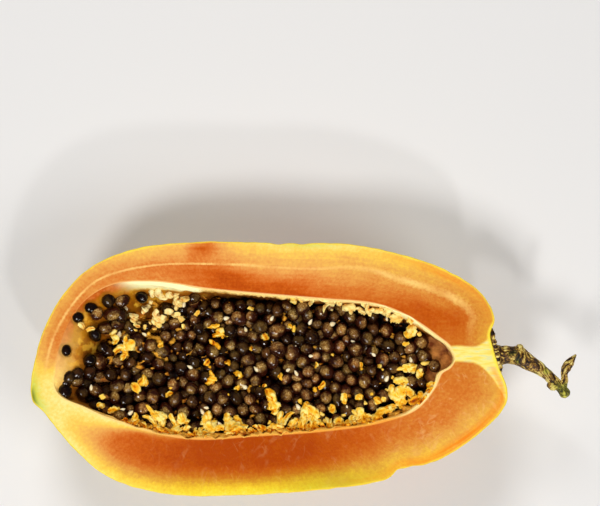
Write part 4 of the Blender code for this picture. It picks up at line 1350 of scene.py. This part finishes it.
def slope_colour(n, place, depth, deep, sunk, fibre):
    """The bare slope: ripe flesh at its top, then gold that darkens, mottled, and a brown stain with painted
    contact shadow round the seeds."""
    slope = n.ramp(sunk, [(0.1, (184, 120, 12)), (0.35, (144, 88, 1)), (0.9, (104, 56, 1))])
    ripe = n.vary(n.plus(n.attribute("ripeness"), 0.18), fibre, 0.8)
    shallow = n.ripe_flesh(ripe, n.range(deep, -0.3, 1.6, 0.15, 0.75))
    slope = n.mix(n.range(deep, 0.2, 2.2, 1.0, 0.0), slope, shallow)
    slope = n.mix(n.range(depth, 0.0, 1.5, 0.12, 0.0), slope, (120, 60, 10))
    below = n.range(depth, 0.5, 3.4)
    mottling = (
        (n.range(n.noise(place, 150.0, 4.0), 0.5, 0.62), (184, 108, 18)),
        (n.range(n.noise(place, 260.0, 4.0, 0.6), 0.5, 0.62, 0.0, 0.6), (112, 62, 18)),
        (n.range(n.noise(place, 190.0, 4.0, 0.6), 0.51, 0.62, 0.0, 0.72), (240, 184, 56)),
    )
    for share, colour in mottling:
        slope = n.mix(n.times(share, below), slope, colour)
    # A brown stain round the seeds on the slope, partly painted contact shadow.
    stain_and_shade = n.times(n.attribute("stain_and_shade"), n.range(fibre, 0.3, 0.6, 0.5, 0.85))
    return n.mix(stain_and_shade, slope, (138, 74, 12))


def skin_material():
    """Ripe yellow skin: orange where the sun was, green by the blossom tip, freckled, with dry scuffs."""
    made, n = start("papaya_skin")
    place = n.place()
    side, along = n.split(place), n.mapped(place, (4.0, 1.0, 1.0))
    cloud, middling = n.noise(place, 24.0, 2.0), n.noise(place, 100.0, 4.0, 0.6)
    streak, fine = n.noise(along, 260.0, 3.0), n.noise(place, 1100.0, 2.0)
    ripe = n.vary(n.vary(n.times(cloud, 0.95), middling, 0.55), streak, 0.22)
    colour = n.ramp(ripe, SKIN_COLOURS)
    green = n.times(n.range(side["X"], -0.072, -0.095), n.range(middling, 0.3, 0.6, 0.9, 0.3))
    colour = n.mix(green, colour, (140, 158, 46))
    shoulder = n.times(n.range(side["X"], 0.076, 0.094), n.range(middling, 0.35, 0.6, 0.8, 0.2))
    colour = n.mix(shoulder, colour, (206, 196, 84))
    dots = n.plus(n.cells(place, 330.0), n.times(fine, 0.2))
    freckle = n.times(n.range(dots, 0.14, 0.3, 0.5, 0.0), n.range(middling, 0.42, 0.56))
    colour = n.mix(freckle, colour, (128, 104, 34))
    rubbed = n.range(n.noise(along, 70.0, 5.0, 0.65, 0.6), 0.6, 0.7, 0.0, 0.55)
    scuff = n.times(rubbed, n.range(fine, 0.3, 0.6, 0.4, 1.0))
    colour = n.mix(scuff, colour, (184, 132, 66))
    by_rim = n.range(side["Z"], (CUT - 5) * MM, (CUT - 0.6) * MM, 0.0, 0.85)
    return finish(made, n, {
        "Base Color": n.mix(by_rim, colour, (236, 206, 46)),
        "Roughness": n.plus(n.range(middling, 0.3, 0.7, 0.32, 0.44), n.times(scuff, 0.4)),
        "Normal": n.bump(n.plus(n.times(fine, 0.4), n.plus(middling, freckle)), 0.00025),
        "Coat Weight": 0.1, "Specular IOR Level": 0.4,
    })


def seed_material():
    """Brown gel over each seed, near black round its sides as painted shade, with a paler coat on its
    upward crown as painted light, and pale dots and specks on that as painted glints."""
    made, n = start("seed_gel")
    place, tone_and_shade = n.place(), n.attribute("tone_and_shade")
    cloud, wrinkle = n.noise(place, 330.0, 2.0), n.noise(place, 620.0, 2.0, 0.5, 1.6)
    # How much of the paler coat shows: painted light on each seed's upward crown, painted shade on its sides.
    clear = n.range(n.vary(n.attribute("lit_crown"), cloud, 1.3), 0.5, 1.15)
    gel = n.mix(tone_and_shade, (8, 1, 1), (58, 21, 8))
    olive, brown = n.mix(tone_and_shade, (26, 11, 4), (156, 116, 48)), n.mix(tone_and_shade, (30, 10, 4), (160, 94, 40))
    colour = n.mix(clear, gel, n.mix(n.attribute("warm"), olive, brown))
    # Painted highlights: pale dots and winding specks on the lit crown stand in for glints on the wet coat.
    glint_dots = n.range(n.cells(place, 1050.0), 0.1, 0.36, 1.0, 0.0)
    glint_specks = n.math("MAXIMUM", glint_dots, n.range(n.near_half(wrinkle), 0.0, 0.05, 0.6, 0.0))
    pale = n.times(n.times(glint_specks, clear), n.range(tone_and_shade, 0.04, 0.9, 0.0, 0.95))
    return finish(made, n, {
        "Base Color": n.mix(pale, colour, (248, 212, 132)), "Normal": n.bump(n.plus(wrinkle, cloud), 0.0001),
        "Roughness": 0.12, "Specular IOR Level": 0.5,
    })


def white_seed_material():
    """Ivory with creamy clouds."""
    made, n = start("white_seed")
    cloud = n.noise(n.place(), 900.0, 2.0)
    colour = n.ramp(cloud, [(0.3, (236, 208, 142)), (0.6, (250, 238, 202))])
    return finish(made, n, {"Base Color": colour, "Normal": n.bump(cloud, 0.0001), "Roughness": 0.35})


def placenta_material():
    """Golden curds, painted paler on their folds and higher up as painted light, brown between them and
    lower down as painted shade, and cream by the upper lip.
    """
    made, n = start("placenta")
    place = n.place()
    side = n.split(place)
    curd, patch = n.noise(place, 750.0, 3.0, 0.6), n.noise(place, 160.0, 2.0)
    # Painted light and shade: the higher a curd lies, the paler, and close under the cut on the low side it
    # is darker.
    risen = n.range(side["Z"], (CUT - 14) * MM, (CUT - 5) * MM, 0.0, 0.42)
    shaded = n.times(n.range(side["Z"], (CUT - 5) * MM, (CUT - 1.2) * MM, 0.0, 0.36),
                     n.range(side["Y"], 0.0, -0.01))
    lit = n.vary(n.vary(n.math("SUBTRACT", risen, shaded), curd, 0.5), patch, 0.5)
    # Painted highlight: paler where a flap stands out on its fold.
    lit = n.plus(lit, n.times(n.attribute("fold"), 0.7))
    colour = n.mix(n.attribute("by_lip"), n.ramp(lit, CURD_LIT_SHADE_COLOURS), n.ramp(lit, LIP_CURD_LIT_SHADE_COLOURS))
    left = n.times(n.range(side["X"], -0.045, -0.025, 1.0, 0.0), n.range(side["Y"], 0.012, 0.026))
    right = n.times(n.range(side["X"], 0.008, 0.02, 0.0, 0.55), n.range(side["Y"], 0.015, 0.024))
    pale = n.times(n.math("MAXIMUM", left, right), n.range(lit, 0.15, 0.75, 0.15, 0.8))
    return finish(made, n, {
        "Base Color": n.mix(pale, colour, (255, 240, 174)), "Normal": n.bump(curd, 0.0004), "Roughness": 0.45,
        "Specular IOR Level": 0.08,
    })


def bed_material():
    """Black where it sinks between the seeds, as painted shade, with golden membranes where it rises, tan
    at both ends, and the web that joins it to the low lip."""
    made, n = start("seed_bed")
    place = n.place()
    side = n.split(place)
    cloud, fine = n.noise(place, 240.0, 4.0), n.noise(place, 900.0, 3.0, 0.6)
    # Painted shade: black where the core sinks between the seeds, golden where its membranes rise.
    lit = n.vary(n.vary(n.attribute("risen"), cloud, 1.2), fine, 0.7)
    by_tip = n.times(n.range(side["X"], -0.056, -0.07), n.range(side["Y"], 0.004, -0.004, 0.0, 0.9))
    ends = n.math("MAXIMUM", n.range(side["X"], 0.063, 0.068), by_tip)
    tan = n.ramp(n.noise(place, 200.0, 3.0), [(0.35, (112, 50, 14)), (0.6, (202, 130, 62))])
    colour = n.mix(ends, n.ramp(lit, BED_SHADE_COLOURS), tan)
    web = n.times(n.range(n.attribute("web"), 0.3, 1.0, 0.0, 0.9), n.range(fine, 0.3, 0.6, 0.35, 1.0))
    return finish(made, n, {
        "Base Color": n.mix(web, colour, (248, 180, 66)), "Normal": n.bump(fine, 0.0005), "Roughness": 0.55,
        "Specular IOR Level": 0.15,
    })


def bark_material():
    """Dry brown wood: dark cracks and pale crests, partly painted shade and painted highlight, golden
    strands, and a green cast on the young wood.
    """
    made, n = start("stalk_bark")
    place = n.place()
    grain = n.add("ShaderNodeCombineXYZ", X=n.times(n.attribute("around"), 18.0),
                  Y=n.times(n.attribute("along"), 0.26)).outputs[0]
    streak, fine = n.noise(grain, 1.6, 4.0, 0.65, 0.2), n.noise(place, 1300.0, 2.0)
    # Partly painted light: the higher a point stands on its strand, the paler, and the cracks between are
    # darker as painted shade.
    shade = n.plus(n.times(n.attribute("high"), 0.5), streak)
    shade = n.vary(n.vary(shade, fine, 0.45), n.noise(place, 330.0, 3.0), 0.35)
    shade = n.range(shade, 0.4, 1.22)
    young = n.plus(n.noise(place, 110.0, 2.0), n.range(n.split(place)["X"], 0.104, 0.12, -0.12, 0.02))
    colour = n.mix(n.range(young, 0.48, 0.6), n.ramp(shade, BROWN_BARK), n.ramp(shade, GREEN_BARK))
    return finish(made, n, {"Base Color": colour, "Normal": n.bump(streak, 0.0006), "Roughness": 0.5})


# ---------------------------------------------------------------- the room


def make_floor():
    """A plain pale floor, just under the fruit."""
    made, n = start("pale_floor")
    finish(made, n, {"Base Color": srgb(226, 224, 222), "Roughness": 0.7})
    corners = FLOOR_REACH * np.array([(-1, -1), (1, -1), (1, 1), (-1, 1)])
    points = np.column_stack([corners, np.full(4, -FLOOR_DROP)])
    floor = add_mesh("floor", points, np.array([[0, 1, 2, 3]]), NO_FACES, [made])


def aim(place, target):
    """The turn that makes a lamp or camera at a place look at a target, upright."""
    direction = np.array(target) - np.array(place)
    flat = math.hypot(direction[0], direction[1])
    return (math.atan2(flat, -direction[2]), 0, math.atan2(-direction[0], direction[1]) if flat > 1e-9 else 0)


def make_camera():
    """The camera, which looks down on the cut face."""
    lens = bpy.data.cameras.new("camera")
    lens.lens, lens.sensor_width, lens.clip_end = LENS, SENSOR, 20
    camera = bpy.data.objects.new("camera", lens)
    distance = VIEW_WIDTH * LENS / SENSOR
    tilt = math.radians(VIEW_ELEVATION)
    x, y, z = *VIEW_CENTRE, CUT * MM
    camera.location = (x, y - distance * math.cos(tilt), z + distance * math.sin(tilt))
    camera.rotation_euler = aim(camera.location, (x, y, z))
    bpy.context.scene.collection.objects.link(camera)
    bpy.context.scene.camera = camera


def make_lights():
    """Round soft lamps that face the middle of the cut face, and a faint even light all round."""
    world = bpy.data.worlds.new("room")
    world.use_nodes = True
    sky = world.node_tree.nodes["Background"].inputs
    sky["Color"].default_value, sky["Strength"].default_value = (1, 1, 1, 1), 0.07
    bpy.context.scene.world = world
    for name, place, size, power, glossy in LAMPS:
        lamp = bpy.data.lights.new(name, "AREA")
        lamp.shape, lamp.size, lamp.energy = "DISK", size, power
        made = bpy.data.objects.new(name, lamp)
        made.location = place
        made.rotation_euler = aim(place, (0, 0, CUT * MM))
        made.visible_glossy = glossy
        bpy.context.scene.collection.objects.link(made)
    bpy.context.scene.view_settings.view_transform = "Standard"


make_floor()
make_lights()
make_camera()
fruit, stalk = make_fruit(), make_stalk()
filling = [make_seeds(), make_white_seeds(), make_placenta(), make_seed_bed()]
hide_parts("papaya_flesh")
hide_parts("stalk")
for piece in filling:
    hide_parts("seed_heap")
for piece in (fruit, stalk, *filling):
    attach(piece, "root")
